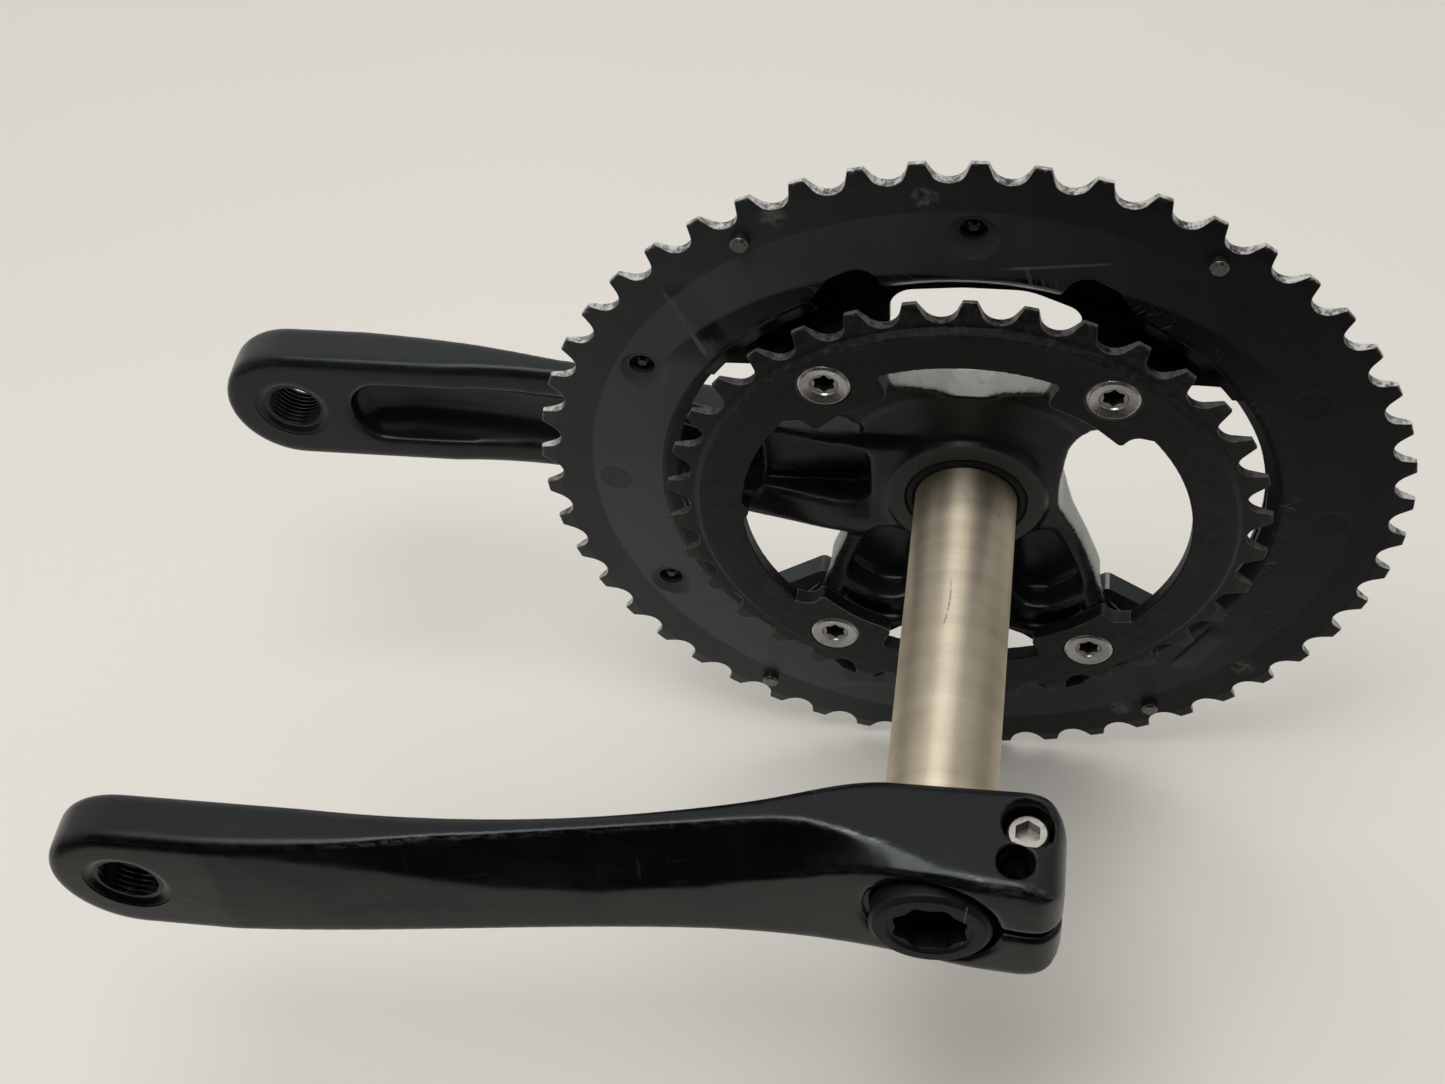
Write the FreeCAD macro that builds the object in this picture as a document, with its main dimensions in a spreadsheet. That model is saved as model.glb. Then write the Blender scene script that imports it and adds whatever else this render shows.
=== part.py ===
"""Two-piece road bicycle crankset with two chainrings, as a parametric FreeCAD document.

Frame, in millimetres: the origin is on the spindle axis, midway between the two bearing
faces. +Y runs along the spindle towards the chainrings, +Z is up, and both crank arms
point to -X.
"""
import FreeCAD, Part
import math
import os
from FreeCAD import Placement, Rotation, Vector

doc = FreeCAD.newDocument("Crankset")

# ------------------------------------------------------------------ driving dimensions
SIZES = {
    # spindle and bearing faces
    "spindle_radius": 12.0,
    "spindle_bore_radius": 10.0,
    "spindle_left_end": -64.2,
    "spindle_right_end": 66.0,
    "bearing_face": 45.0,
    "hub_radius": 18.7,
    "hub_seat_radius": 14.3,
    # chain and chainrings
    "chain_pitch": 12.7,
    "roller_seat_radius": 3.95,
    "large_teeth": 50,
    "large_tooth_plane": 47.4,
    "large_tip_height": 0.9,
    "large_rim_radius": 68.8,
    "carrier_edge_radius": 89.5,
    "carrier_face": 44.6,
    "small_teeth": 34,
    "small_tooth_plane": 39.8,
    "small_tip_height": 1.6,
    "small_face": 37.3,
    "small_back": 41.0,
    "small_inner_radius": 52.4,
    "small_pad_radius": 45.6,
    "tooth_phase": 3.09,
    # chainring bolts: rectangle of four on a 110 mm circle
    "bolt_circle_radius": 55.0,
    "bolt_angle": 55.0,
    "ring_bolt_head_radius": 6.0,
    "ring_bolt_shank_radius": 4.0,
    "ring_bolt_face": 36.9,
    "tab_back": 45.2,
    "pad_back": 50.4,
    # crank arms
    "crank_length": 170.0,
    "arm_half_width": 17.5,
    "arm_outer_face": 75.3,
    "arm_edge_radius": 2.4,
    "pedal_bore_radius": 7.144,
    # left clamp
    "clamp_end": 26.6,
    "inner_bolt_x": 18.5,
    "outer_bolt_x": 16.4,
    "clamp_bolt_inner": -53.6,
    "clamp_bolt_outer": -62.9,
    "clamp_bolt_radius": 3.0,
    "clamp_head_radius": 4.3,
    "clamp_head_top": 13.4,
    "clamp_head_height": 4.4,
    "clamp_washer": 0.8,
    "slot_width": 2.2,
    "cap_recess_radius": 14.2,
    "cap_recess_floor": -64.9,
    "cap_radius": 12.7,
    "cap_face": -70.6,
}

sheet = doc.addObject("Spreadsheet::Sheet", "Sizes")
for row, (alias, value) in enumerate(SIZES.items(), start=1):
    sheet.set(f"A{row}", alias)
    sheet.set(f"B{row}", str(value))
    sheet.setAlias(f"B{row}", alias)
doc.recompute()


def size(alias):
    return float(getattr(sheet, alias))


X_AXIS = Vector(1, 0, 0)
Y_AXIS = Vector(0, 1, 0)
Z_AXIS = Vector(0, 0, 1)
# Rings and turned pieces are drawn lying flat and stood up, so their drawn +Z is the row's -Y.
STOOD_UP = Rotation(X_AXIS, 90)

NODES = []


# ------------------------------------------------------------------ drawing helpers
def rounded(corners):
    """Closed outline through (u, v, radius) corners, each rounded by a tangent arc."""
    trims = []
    for index, (u, v, radius) in enumerate(corners):
        here = Vector(u, v, 0)
        before = Vector(*corners[index - 1][:2], 0)
        after = Vector(*corners[(index + 1) % len(corners)][:2], 0)
        to_before = (before - here).normalize()
        to_after = (after - here).normalize()
        half_angle = to_before.getAngle(to_after) / 2
        if radius <= 0 or half_angle > math.radians(89.5):
            trims.append((here, None, here))
            continue
        reach = radius / math.tan(half_angle)
        bisector = (to_before + to_after).normalize()
        middle = here + bisector * (radius / math.sin(half_angle) - radius)
        trims.append((here + to_before * reach, middle, here + to_after * reach))
    outline = []
    for index, (start, middle, end) in enumerate(trims):
        if middle is not None:
            outline.append(Part.Arc(start, middle, end))
        following = trims[(index + 1) % len(trims)][0]
        if (following - end).Length > 1e-6:
            outline.append(Part.LineSegment(end, following))
    return outline


def circle(u, v, radius):
    return [Part.Circle(Vector(u, v, 0), Vector(0, 0, 1), radius)]


def polar(radius, degrees):
    angle = math.radians(degrees)
    return radius * math.cos(angle), radius * math.sin(angle)


def mirrored(corners, side_u, side_v):
    """The same corners in another quadrant; side_u and side_v are 1 or -1."""
    return [(side_u * u, side_v * v, radius) for u, v, radius in corners]


def loose_sketch(name, outlines, placement):
    sketch = doc.addObject("Sketcher::SketchObject", name)
    sketch.Placement = placement
    for outline in outlines:
        sketch.addGeometry(outline, False)
    return sketch


def plan_prism(name, outlines, near, far):
    """Solid with an outline drawn in X and Z, from y = near to y = far."""
    sketch = loose_sketch(name + "Outline", outlines, Placement(Vector(0, near, 0), STOOD_UP))
    prism = doc.addObject("Part::Extrusion", name)
    prism.Base = sketch
    prism.DirMode = "Custom"
    prism.Dir = Y_AXIS
    prism.LengthFwd = far - near
    prism.Solid = True
    return prism


def side_prism(name, outline, low, high):
    """Solid with an outline drawn in X and Y, from z = low to z = high."""
    sketch = loose_sketch(name + "Outline", [outline], Placement(Vector(0, 0, low), Rotation()))
    prism = doc.addObject("Part::Extrusion", name)
    prism.Base = sketch
    prism.DirMode = "Custom"
    prism.Dir = Z_AXIS
    prism.LengthFwd = high - low
    prism.Solid = True
    return prism


def turned(name, profile):
    """Solid turned about the spindle axis from a closed profile of (radius, y, rounding)."""
    sketch = loose_sketch(name + "Profile", [rounded(profile)], Placement())
    solid = doc.addObject("Part::Revolution", name)
    solid.Source = sketch
    solid.Axis = Y_AXIS
    solid.Angle = 360
    solid.Solid = True
    return solid


def cylinder(name, radius, base, axis, length):
    """Part cylinder; radius is a sheet alias or a number, axis a unit vector."""
    solid = doc.addObject("Part::Cylinder", name)
    if isinstance(radius, str):
        solid.setExpression("Radius", "Sizes." + radius)
    else:
        solid.Radius = radius
    solid.Height = length
    solid.Placement = Placement(Vector(*base), Rotation(Z_AXIS, Vector(*axis)))
    return solid


def fuse(name, shapes):
    union = doc.addObject("Part::MultiFuse", name)
    union.Shapes = shapes
    return union


def common(name, shapes):
    shared = doc.addObject("Part::MultiCommon", name)
    shared.Shapes = shapes
    return shared


def cut(name, base, tools):
    result = doc.addObject("Part::Cut", name)
    result.Base = base
    result.Tool = tools[0] if len(tools) == 1 else fuse(name + "Tools", tools)
    return result


def node(label, item):
    """Registers a finished sub-part under the name of its file."""
    item.Label = label
    NODES.append(item)
    return item


# ------------------------------------------------------------------ body helpers
def new_body(label, y_alias, x=0.0, z=0.0):
    """A body drawn flat and stood up, whose drawing plane lies at a sheet position along Y."""
    body = doc.addObject("PartDesign::Body", "Body_" + label)
    body.Placement = Placement(Vector(x, 0, z), STOOD_UP)
    body.setExpression("Placement.Base.y", "Sizes." + y_alias)
    return node(label, body)


def body_sketch(body, name, role, outlines, lift=0.0):
    plane = next(item for item in body.Origin.OriginFeatures if item.Role == role)
    sketch = body.newObject("Sketcher::SketchObject", name)
    sketch.AttachmentSupport = [(plane, "")]
    sketch.MapMode = "FlatFace"
    sketch.AttachmentOffset = Placement(Vector(0, 0, lift), Rotation())
    for outline in outlines:
        sketch.addGeometry(outline, False)
    return sketch


def revolve(body, name, profile):
    """Turns a closed (radius, height, rounding) profile about the body's own axis."""
    sketch = body_sketch(body, name + "Profile", "XZ_Plane", [rounded(profile)])
    feature = body.newObject("PartDesign::Revolution", name)
    feature.Profile = sketch
    feature.ReferenceAxis = (sketch, ["V_Axis"])
    feature.Angle = 360
    return feature


def pad(body, name, outlines, low, high):
    sketch = body_sketch(body, name + "Outline", "XY_Plane", outlines, low)
    feature = body.newObject("PartDesign::Pad", name)
    feature.Profile = sketch
    feature.Length = high - low
    return feature


def pocket(body, name, outlines, top, depth):
    """Pocket sunk from height top down by depth; the drawn outlines face up."""
    sketch = body_sketch(body, name + "Outline", "XY_Plane", outlines, top)
    feature = body.newObject("PartDesign::Pocket", name)
    feature.Profile = sketch
    feature.Length = depth
    return feature


def repeat(body, name, feature, count_alias):
    """Repeats one feature round the body's axis as often as the sheet says."""
    axis = next(item for item in body.Origin.OriginFeatures if item.Role == "Z_Axis")
    pattern = body.newObject("PartDesign::PolarPattern", name)
    pattern.Originals = [feature]
    pattern.Axis = (axis, [""])
    pattern.Angle = 360
    pattern.setExpression("Occurrences", "Sizes." + count_alias)
    body.Tip = pattern
    return pattern


def lobed(radius_out, radius_in, lobes, phase=0.0):
    """Rounded star outline, for a lobed drive socket."""
    corners = []
    for index in range(2 * lobes):
        radius = radius_out if index % 2 == 0 else radius_in
        step = 180.0 / lobes
        u, v = polar(radius, phase + index * step)
        corners.append((u, v, 0.16 * radius_out))
    return rounded(corners)


# ------------------------------------------------------------------ chain geometry
def pitch_radius(teeth):
    return size("chain_pitch") / (2 * math.sin(math.pi / teeth))


def tooth_gap(teeth, tip_height, phase):
    """Space between two teeth: a roller seat with flanks that lean open to beyond the tips."""
    seat = size("roller_seat_radius")
    centre = pitch_radius(teeth)
    lean = math.radians(25)
    beyond = tip_height + 1.5
    seat_u = centre - seat * math.sin(lean)
    seat_v = seat * math.cos(lean)
    rise = beyond + seat * math.sin(lean)
    mouth_v = seat_v + rise * math.tan(lean)
    points = {
        "low_mouth": (centre + beyond, -mouth_v),
        "low_seat": (seat_u, -seat_v),
        "bottom": (centre - seat, 0),
        "high_seat": (seat_u, seat_v),
        "high_mouth": (centre + beyond, mouth_v),
    }
    turn = Rotation(Z_AXIS, phase)
    placed = {key: turn.multVec(Vector(u, v, 0)) for key, (u, v) in points.items()}
    return [
        Part.LineSegment(placed["low_mouth"], placed["low_seat"]),
        Part.Arc(placed["low_seat"], placed["bottom"], placed["high_seat"]),
        Part.LineSegment(placed["high_seat"], placed["high_mouth"]),
        Part.LineSegment(placed["high_mouth"], placed["low_mouth"]),
    ]


def bolt_places():
    """The four chainring bolts, as (x, z), anticlockwise from the upper right."""
    angle = size("bolt_angle")
    radius = size("bolt_circle_radius")
    return [polar(radius, turn) for turn in (angle, 180 - angle, 180 + angle, -angle)]


QUADRANTS = [(1, 1), (-1, 1), (-1, -1), (1, -1)]


# ------------------------------------------------------------------ large chainring
RIVET_ANGLES = (90.0, 152.6, 207.4)
RIVET_CIRCLE_RADIUS = 83.8
SHIFT_PIN_ANGLES = (57.0, 122.0, 237.0, 303.0)
SHIFT_PIN_CIRCLE_RADIUS = 93.0
SHIFT_PIN_RADIUS = 2.1
DROP_PIN_X = -86.5
DROP_PIN_RADIUS = 2.6
DROP_PIN_ROOT = -1.8


def root_angle(near_degrees):
    """Angle of the tooth gap of the large ring that lies nearest to the one given."""
    step = 360.0 / size("large_teeth")
    first = size("tooth_phase") + step / 2
    return first + step * round((near_degrees - first) / step)


def large_chainring():
    plane = size("large_tooth_plane")
    tip = pitch_radius(size("large_teeth")) + size("large_tip_height")
    rim = size("large_rim_radius")
    edge = size("carrier_edge_radius")
    face = plane - size("carrier_face")
    half_tooth = 1.1
    half_tip = 0.55
    tooth_foot = tip - 3.6
    back = -4.2
    body = new_body("large_chainring", "large_tooth_plane")
    revolve(body, "RingBlank", [
        (tip, half_tip, 0.3), (tooth_foot, half_tooth, 1.5), (edge, half_tooth, 6),
        (rim + 3.8, face, 0.6), (rim + 2.7, face - 0.5, 0), (rim, face - 2.6, 0.8),
        (rim, back, 1.2), (rim + 6, back, 8), (edge, -2.6, 3), (edge + 5, -half_tooth, 2),
        (tooth_foot, -half_tooth, 1.5), (tip, -half_tip, 0.3)])

    pad_corners = [
        (22.8, 66.6, 0), (22.8, 52.0, 7), (20.0, 42.0, 4), (34.9, 29.8, 1.5),
        (48.0, 38.9, 6), (62.0, 38.5, 0), (52.0, 52.0, 0), (38.0, 62.0, 0)]
    pad_outlines = [rounded(mirrored(pad_corners, *side)) for side in QUADRANTS]
    pad_front = plane - size("tab_back") - 0.02
    pad(body, "BoltPads", pad_outlines, plane - size("pad_back"), pad_front)

    # web over the top window, set back from the carrier's face
    web_front = -1.6
    pad(body, "TopWeb", [rounded([
        (-30.0, 65.0, 0), (-26.0, 54.0, 0), (28.0, 54.0, 0), (34.0, 63.0, 0), (20.0, 69.4, 0),
        (0.0, 72.2, 0), (-20.0, 69.4, 0)])], back + 0.3, web_front)
    pocket(body, "TopWindow", [rounded([
        (-17.8, 46.0, 0), (-17.8, 63.8, 5.5), (-2.0, 65.5, 40), (12.0, 65.4, 14), (24.0, 59.8, 5),
        (23.6, 54.0, 8), (18.0, 46.0, 0)])], face + 1, face + 9)

    # moat between the bolt pads and the carrier, with a boss behind each bolt
    moat = circle(0, 0, rim + 0.4) + circle(0, 0, 61.4)
    pocket(body, "PadMoat", [moat], face + 1, face + 1 - web_front)
    recess_corners = [
        (18.0, 66.0, 3), (21.6, 75.6, 5), (31.0, 70.0, 5), (36.0, 61.5, 3), (27.0, 58.6, 3)]
    recess_outlines = [rounded(mirrored(recess_corners, *side)) for side in QUADRANTS]
    pocket(body, "WindowRecesses", recess_outlines, face + 1, face + 3.0)
    boss_rings = []
    for side_u, side_v in QUADRANTS:
        boss_u, boss_v = 43.5 * side_u, 49.3 * side_v
        boss_rings.append(circle(boss_u, boss_v, 5.0) + circle(boss_u, boss_v, 3.6))
    pad(body, "PadBosses", boss_rings, web_front - 0.1, 1.4)

    dimple_floor = 0.2
    for index, turn in enumerate(RIVET_ANGLES):
        u, v = polar(RIVET_CIRCLE_RADIUS, turn)
        sketch = body_sketch(body, f"Dimple{index}Top", "XY_Plane", [circle(u, v, 7.4)], face + 0.2)
        lower = body_sketch(body, f"Dimple{index}Floor", "XY_Plane", [circle(u, v, 3.6)], dimple_floor)
        dimple = body.newObject("PartDesign::SubtractiveLoft", f"Dimple{index}")
        dimple.Profile = sketch
        dimple.Sections = [lower]
        pocket(body, f"RivetHole{index}", [circle(u, v, 3.0)], dimple_floor + 1.0, 3.4)

    pin_holes = []
    for near in SHIFT_PIN_ANGLES:
        u, v = polar(SHIFT_PIN_CIRCLE_RADIUS, root_angle(near))
        pin_holes += circle(u, v, SHIFT_PIN_RADIUS)
    pocket(body, "ShiftPinHoles", [pin_holes], half_tooth + 1, 2 * half_tooth + 2)

    bolt_holes = []
    for u, v in bolt_places():
        bolt_holes += circle(u, v, size("ring_bolt_shank_radius"))
    pocket(body, "BoltThreads", [bolt_holes], face + 1, 7.4)
    pocket(body, "DropPinHole", [circle(DROP_PIN_X, 0, DROP_PIN_RADIUS)], DROP_PIN_ROOT, 4.0)

    gap = pocket(body, "ToothGap", [tooth_gap(size("large_teeth"), size("large_tip_height"),
                                              root_angle(0))], half_tooth + 1, 2 * half_tooth + 2)
    repeat(body, "ToothGaps", gap, "large_teeth")
    return body


# ------------------------------------------------------------------ small chainring
def small_chainring():
    plane = size("small_tooth_plane")
    tip = pitch_radius(size("small_teeth")) + size("small_tip_height")
    inner = size("small_inner_radius")
    face = plane - size("small_face")
    back = plane - size("small_back")
    half_tooth = 1.0
    half_tip = 0.5
    tooth_foot = tip - 3.4
    step_radius = 62.6
    body = new_body("small_chainring", "small_tooth_plane")
    revolve(body, "RingBlank", [
        (tip, half_tip, 0.3), (tooth_foot, half_tooth, 1.5), (step_radius + 1.4, half_tooth, 0.4),
        (step_radius, face, 0.4), (inner, face, 0.4), (inner, back, 0.3), (step_radius, back, 0.3),
        (step_radius + 1, -half_tooth, 0.3), (tooth_foot, -half_tooth, 1.5), (tip, -half_tip, 0.3)])

    pad_radius = size("small_pad_radius")
    window_side = 41.5
    slot_side = 68.0
    outer = inner + 2.0
    corners = [
        (*polar(outer, slot_side + 2), 0), (*polar(inner - 0.6, slot_side - 0.2), 0),
        (*polar(pad_radius, slot_side), 2.2), (*polar(pad_radius + 0.5, 55.0), 30),
        (*polar(pad_radius, window_side), 1.0),
        (*polar(pad_radius + 4.2, window_side + 1.2), 3.4),
        (*polar(inner + 0.4, window_side - 3.4), 2.6),
        (*polar(outer, window_side - 3.6), 0), (*polar(outer + 1.6, 55.0), 0)]
    outlines = [rounded(mirrored(corners, *side)) for side in QUADRANTS]
    pad(body, "BoltPads", outlines, back, face)
    mark_u = inner + 1.7
    pad(body, "ArmMark", [circle(-mark_u, 0.6, 3.2)], back, face)

    head_holes = []
    shank_holes = []
    for u, v in bolt_places():
        head_holes += circle(u, v, size("ring_bolt_head_radius") + 0.2)
        shank_holes += circle(u, v, size("ring_bolt_shank_radius") + 0.2)
    pocket(body, "HeadSeats", [head_holes], face + 1, 3.2)
    pocket(body, "ShankHoles", [shank_holes], face + 1, face - back + 2)
    gap = pocket(body, "ToothGap", [tooth_gap(size("small_teeth"), size("small_tip_height"),
                                              90 + 180.0 / size("small_teeth"))],
                 half_tooth + 1, 2 * half_tooth + 2)
    repeat(body, "ToothGaps", gap, "small_teeth")
    return body


# ------------------------------------------------------------------ ring fasteners and trim
def chainring_bolt(number, x, z):
    """Dished head with a six-lobe socket, threaded into the large ring's pad."""
    head = size("ring_bolt_head_radius")
    shank = size("ring_bolt_shank_radius")
    seat = -(size("small_face") + 2.2 - size("ring_bolt_face"))
    length = -(size("pad_back") - 0.6 - size("ring_bolt_face"))
    body = new_body(f"chainring_bolt_{number}", "ring_bolt_face", x, z)
    revolve(body, "Turned", [
        (0, -1.1, 0), (3.0, -1.1, 0.1), (3.3, -0.6, 0.2), (head - 0.6, 0, 0.3), (head, -0.5, 0.3),
        (head, seat, 0), (shank - 0.03, seat, 0.2), (shank - 0.03, length + 0.6, 0.2),
        (shank - 0.6, length, 0), (0, length, 0)])
    pocket(body, "Socket", [lobed(2.85, 2.05, 6, 30)], 0, 3.9)
    return body


def shift_pin(number, turn):
    """Steel pin riveted through the large ring's toothed band, with a head on the inner side."""
    x, z = polar(SHIFT_PIN_CIRCLE_RADIUS, turn)
    body = new_body(f"shift_pin_{number}", "large_tooth_plane", x, z)
    radius = SHIFT_PIN_RADIUS - 0.01
    revolve(body, "Turned", [
        (0, 3.2, 0), (radius - 0.5, 3.2, 0.2), (radius, 2.7, 0.2), (radius, -1.4, 0.2), (0, -1.4, 0)])
    return body


def carrier_rivet(number, turn):
    """Post that stands in the middle of a dimple of the large ring."""
    x, z = polar(RIVET_CIRCLE_RADIUS, turn)
    body = new_body(f"carrier_rivet_{number}", "large_tooth_plane", x, z)
    floor = -2.2
    revolve(body, "Turned", [
        (0, -0.4, 0), (0.9, -0.4, 0.2), (1.7, -1.0, 0.3), (1.7, floor, 0), (0, floor, 0)])
    return body


def chain_drop_pin():
    """Peg on the outer side of the large ring, behind the crank arm."""
    body = new_body("chain_drop_pin", "large_tooth_plane", DROP_PIN_X, 0)
    radius = DROP_PIN_RADIUS - 0.01
    root = DROP_PIN_ROOT
    end = -6.0
    revolve(body, "Turned", [(0, root, 0), (radius, root, 0), (radius, end, 0.5), (0, end, 0)])
    return body


# ------------------------------------------------------------------ crank arms
# Faces of an arm along its length, as (x, distance from the bicycle's centre plane).
OUTER_LINE = [
    (-150.0, 75.3), (-100.0, 70.6), (-60.0, 66.4), (-40.0, 65.2), (-20.0, 65.7), (-4.0, 67.6)]
LEFT_INNER_LINE = [
    (-8.0, 45.6), (-18.0, 46.6), (-33.0, 51.2), (-48.0, 55.1), (-76.0, 60.2), (-98.0, 62.4),
    (-130.0, 63.0)]
RIGHT_INNER_LINE = [
    (-24.0, 46.2), (-34.0, 46.9), (-44.0, 49.0), (-56.0, 51.4), (-78.0, 58.6), (-98.0, 62.2),
    (-130.0, 62.6)]
# Outer face of the hub, from the blade to the rounded end.
HUB_LINE = [(8.0, 69.4), (19.5, 70.2)]
# The long facet along the arm's upper outer edge. Each station is
# (x, height where it leaves the outer face, distance where it meets the upper side).
FACET_STATIONS = [
    (-153.0, 17.2, 75.2), (-136.0, 16.6, 73.8), (-124.0, 14.2, 72.4), (-113.0, 10.0, 70.4),
    (-102.0, 4.8, 68.3), (-90.0, 0.6, 66.7), (-69.0, -1.6, 63.4), (-48.0, 1.3, 59.8),
    (-33.0, 6.6, 57.2), (-26.0, 9.4, 56.9), (-17.0, 13.4, 58.7), (-8.0, 15.8, 61.0),
    (2.0, 16.9, 64.4), (11.0, 17.3, 68.0)]


# On the right arm the facet fades out in a shallow hollow below the edge.
RIGHT_FACET_STATIONS = [(-153.0, 17.2, 75.2), (-136.0, 15.2, 74.4), (-124.0, 13.4, 72.6)] + FACET_STATIONS[3:]
# Half height of tools and blanks that pass right through an arm from top to bottom.
ARM_REACH = 30.0


def outer_distance(x):
    """Outer face of an arm at x, on straight stretches between the named points."""
    line = [(-190.0, OUTER_LINE[0][1])] + OUTER_LINE + HUB_LINE
    for (x0, y0), (x1, y1) in zip(line, line[1:]):
        if x0 <= x <= x1:
            return y0 + (y1 - y0) * (x - x0) / (x1 - x0)
    return line[-1][1]


def face_curve(line, side):
    curve = Part.BSplineCurve()
    curve.interpolate([Vector(x, side * y, 0) for x, y in line])
    return curve


def arm_side_outline(side, inner_line, end_corners):
    """Arm seen from above: smooth outer and inner faces, joined by straight or rounded ends."""
    tip = -size("crank_length") - size("arm_half_width") - 2
    outer_y = OUTER_LINE[0][1]
    inner_y = inner_line[-1][1]
    corners = [(*OUTER_LINE[-1], 0)] + end_corners + [(*inner_line[0], 0)]
    hub_end = rounded([(x, side * y, radius) for x, y, radius in corners])[:-1]
    pedal_side = [
        (inner_line[-1][0], inner_y), (tip, inner_y), (tip, outer_y), (OUTER_LINE[0][0], outer_y)]
    lines = [Part.LineSegment(Vector(x0, side * y0, 0), Vector(x1, side * y1, 0))
             for (x0, y0), (x1, y1) in zip(pedal_side, pedal_side[1:])]
    return [face_curve(OUTER_LINE, side)] + hub_end + [face_curve(inner_line, side)] + lines


def softened(name, base, radius):
    """The base solid with every sharp edge rounded by the same radius."""
    doc.recompute()
    edges = []
    for index, edge in enumerate(base.Shape.Edges, start=1):
        faces = base.Shape.ancestorsOfType(edge, Part.Face)
        middle = edge.valueAt((edge.FirstParameter + edge.LastParameter) / 2)
        normals = [face.normalAt(*face.Surface.parameter(middle)) for face in faces]
        if len(normals) == 2 and abs(normals[0].dot(normals[1])) < 0.5:
            edges.append((index, radius, radius))
    fillet = doc.addObject("Part::Fillet", name)
    fillet.Base = base
    fillet.Edges = edges
    return fillet


def arm_plan(hub_x, corner_radius):
    """Arm seen along the spindle: parallel sides and a half-round pedal end."""
    half = size("arm_half_width")
    pedal_x = -size("crank_length")
    hub_end = rounded([
        (pedal_x, -half, 0), (hub_x, -half, corner_radius), (hub_x, half, corner_radius),
        (pedal_x, half, 0)])[:-1]
    pedal_end = Part.Arc(
        Vector(pedal_x, half, 0), Vector(pedal_x - half, 0, 0), Vector(pedal_x, -half, 0))
    return hub_end + [pedal_end]


def end_rounding(name, radius, y, side):
    """Tool that rounds the hub end of the left arm off towards one face; side is -1 or 1 along Y."""
    crossing = 0.05
    clear = 3.0
    x = size("clamp_end") + crossing
    y += side * crossing
    inner_x = x - radius
    inner_y = y - side * radius
    bend = radius * (1 - math.sqrt(0.5))
    corner = [
        (x, inner_y), (x + clear, inner_y), (x + clear, y + side * clear), (inner_x, y + side * clear),
        (inner_x, y)]
    outline = [Part.LineSegment(Vector(u0, v0, 0), Vector(u1, v1, 0))
               for (u0, v0), (u1, v1) in zip(corner, corner[1:])]
    middle = Vector(x - bend, y - side * bend, 0)
    outline.append(Part.Arc(Vector(inner_x, y, 0), middle, Vector(x, inner_y, 0)))
    return side_prism(name, outline, -ARM_REACH, ARM_REACH)


def facet_cutter(name, stations, side, last_x):
    """Lofted wedge that takes the long facet off an arm's upper outer edge."""
    sections = []
    for index, (x, foot, crest) in enumerate(stations):
        if x > last_x:
            break
        outer = outer_distance(x)
        upper = size("arm_half_width") + 0.4
        run = Vector(crest - outer, upper - foot, 0).normalize()
        low = Vector(outer, foot, 0) - run * 7
        high = Vector(crest, upper, 0) + run * 9
        far = Vector(outer + 12, upper + 9, 0)
        points = [Vector(x, side * point.x, point.y) for point in (low, high, far)]
        wire = doc.addObject("Part::Feature", f"{name}Section{index}")
        wire.Shape = Part.makePolygon(points + points[:1])
        sections.append(wire)
    loft = doc.addObject("Part::Loft", name)
    loft.Sections = sections
    loft.Solid = True
    loft.Ruled = True
    return loft


TROUGH_HALF = 9.6
# Floor of the trough in the right arm's inner side, as (x, distance from the centre plane).
TROUGH_STATIONS = [(-156.0, 64.4), (-150.0, 69.0), (-140.0, 70.4), (-120.0, 69.2), (-100.0, 66.8),
                   (-75.0, 63.2), (-48.0, 59.8)]


def trough_section(index, x, floor):
    """Round-bottomed section across the trough at x."""
    round_in = 6.4
    mouth = size("bearing_face") - 10
    wire = doc.addObject("Part::Feature", f"TroughSection{index}")
    flat = TROUGH_HALF - round_in
    bend = round_in * math.sqrt(0.5)
    wall = floor - round_in
    pieces = [
        Part.LineSegment(Vector(x, mouth, -TROUGH_HALF), Vector(x, wall, -TROUGH_HALF)),
        Part.Arc(Vector(x, wall, -TROUGH_HALF), Vector(x, wall + bend, -flat - bend),
                 Vector(x, floor, -flat)),
        Part.LineSegment(Vector(x, floor, -flat), Vector(x, floor, flat)),
        Part.Arc(Vector(x, floor, flat), Vector(x, wall + bend, flat + bend),
                 Vector(x, wall, TROUGH_HALF)),
        Part.LineSegment(Vector(x, wall, TROUGH_HALF), Vector(x, mouth, TROUGH_HALF)),
        Part.LineSegment(Vector(x, mouth, TROUGH_HALF), Vector(x, mouth, -TROUGH_HALF))]
    wire.Shape = Part.Wire([piece.toShape() for piece in pieces])
    return wire


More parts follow.
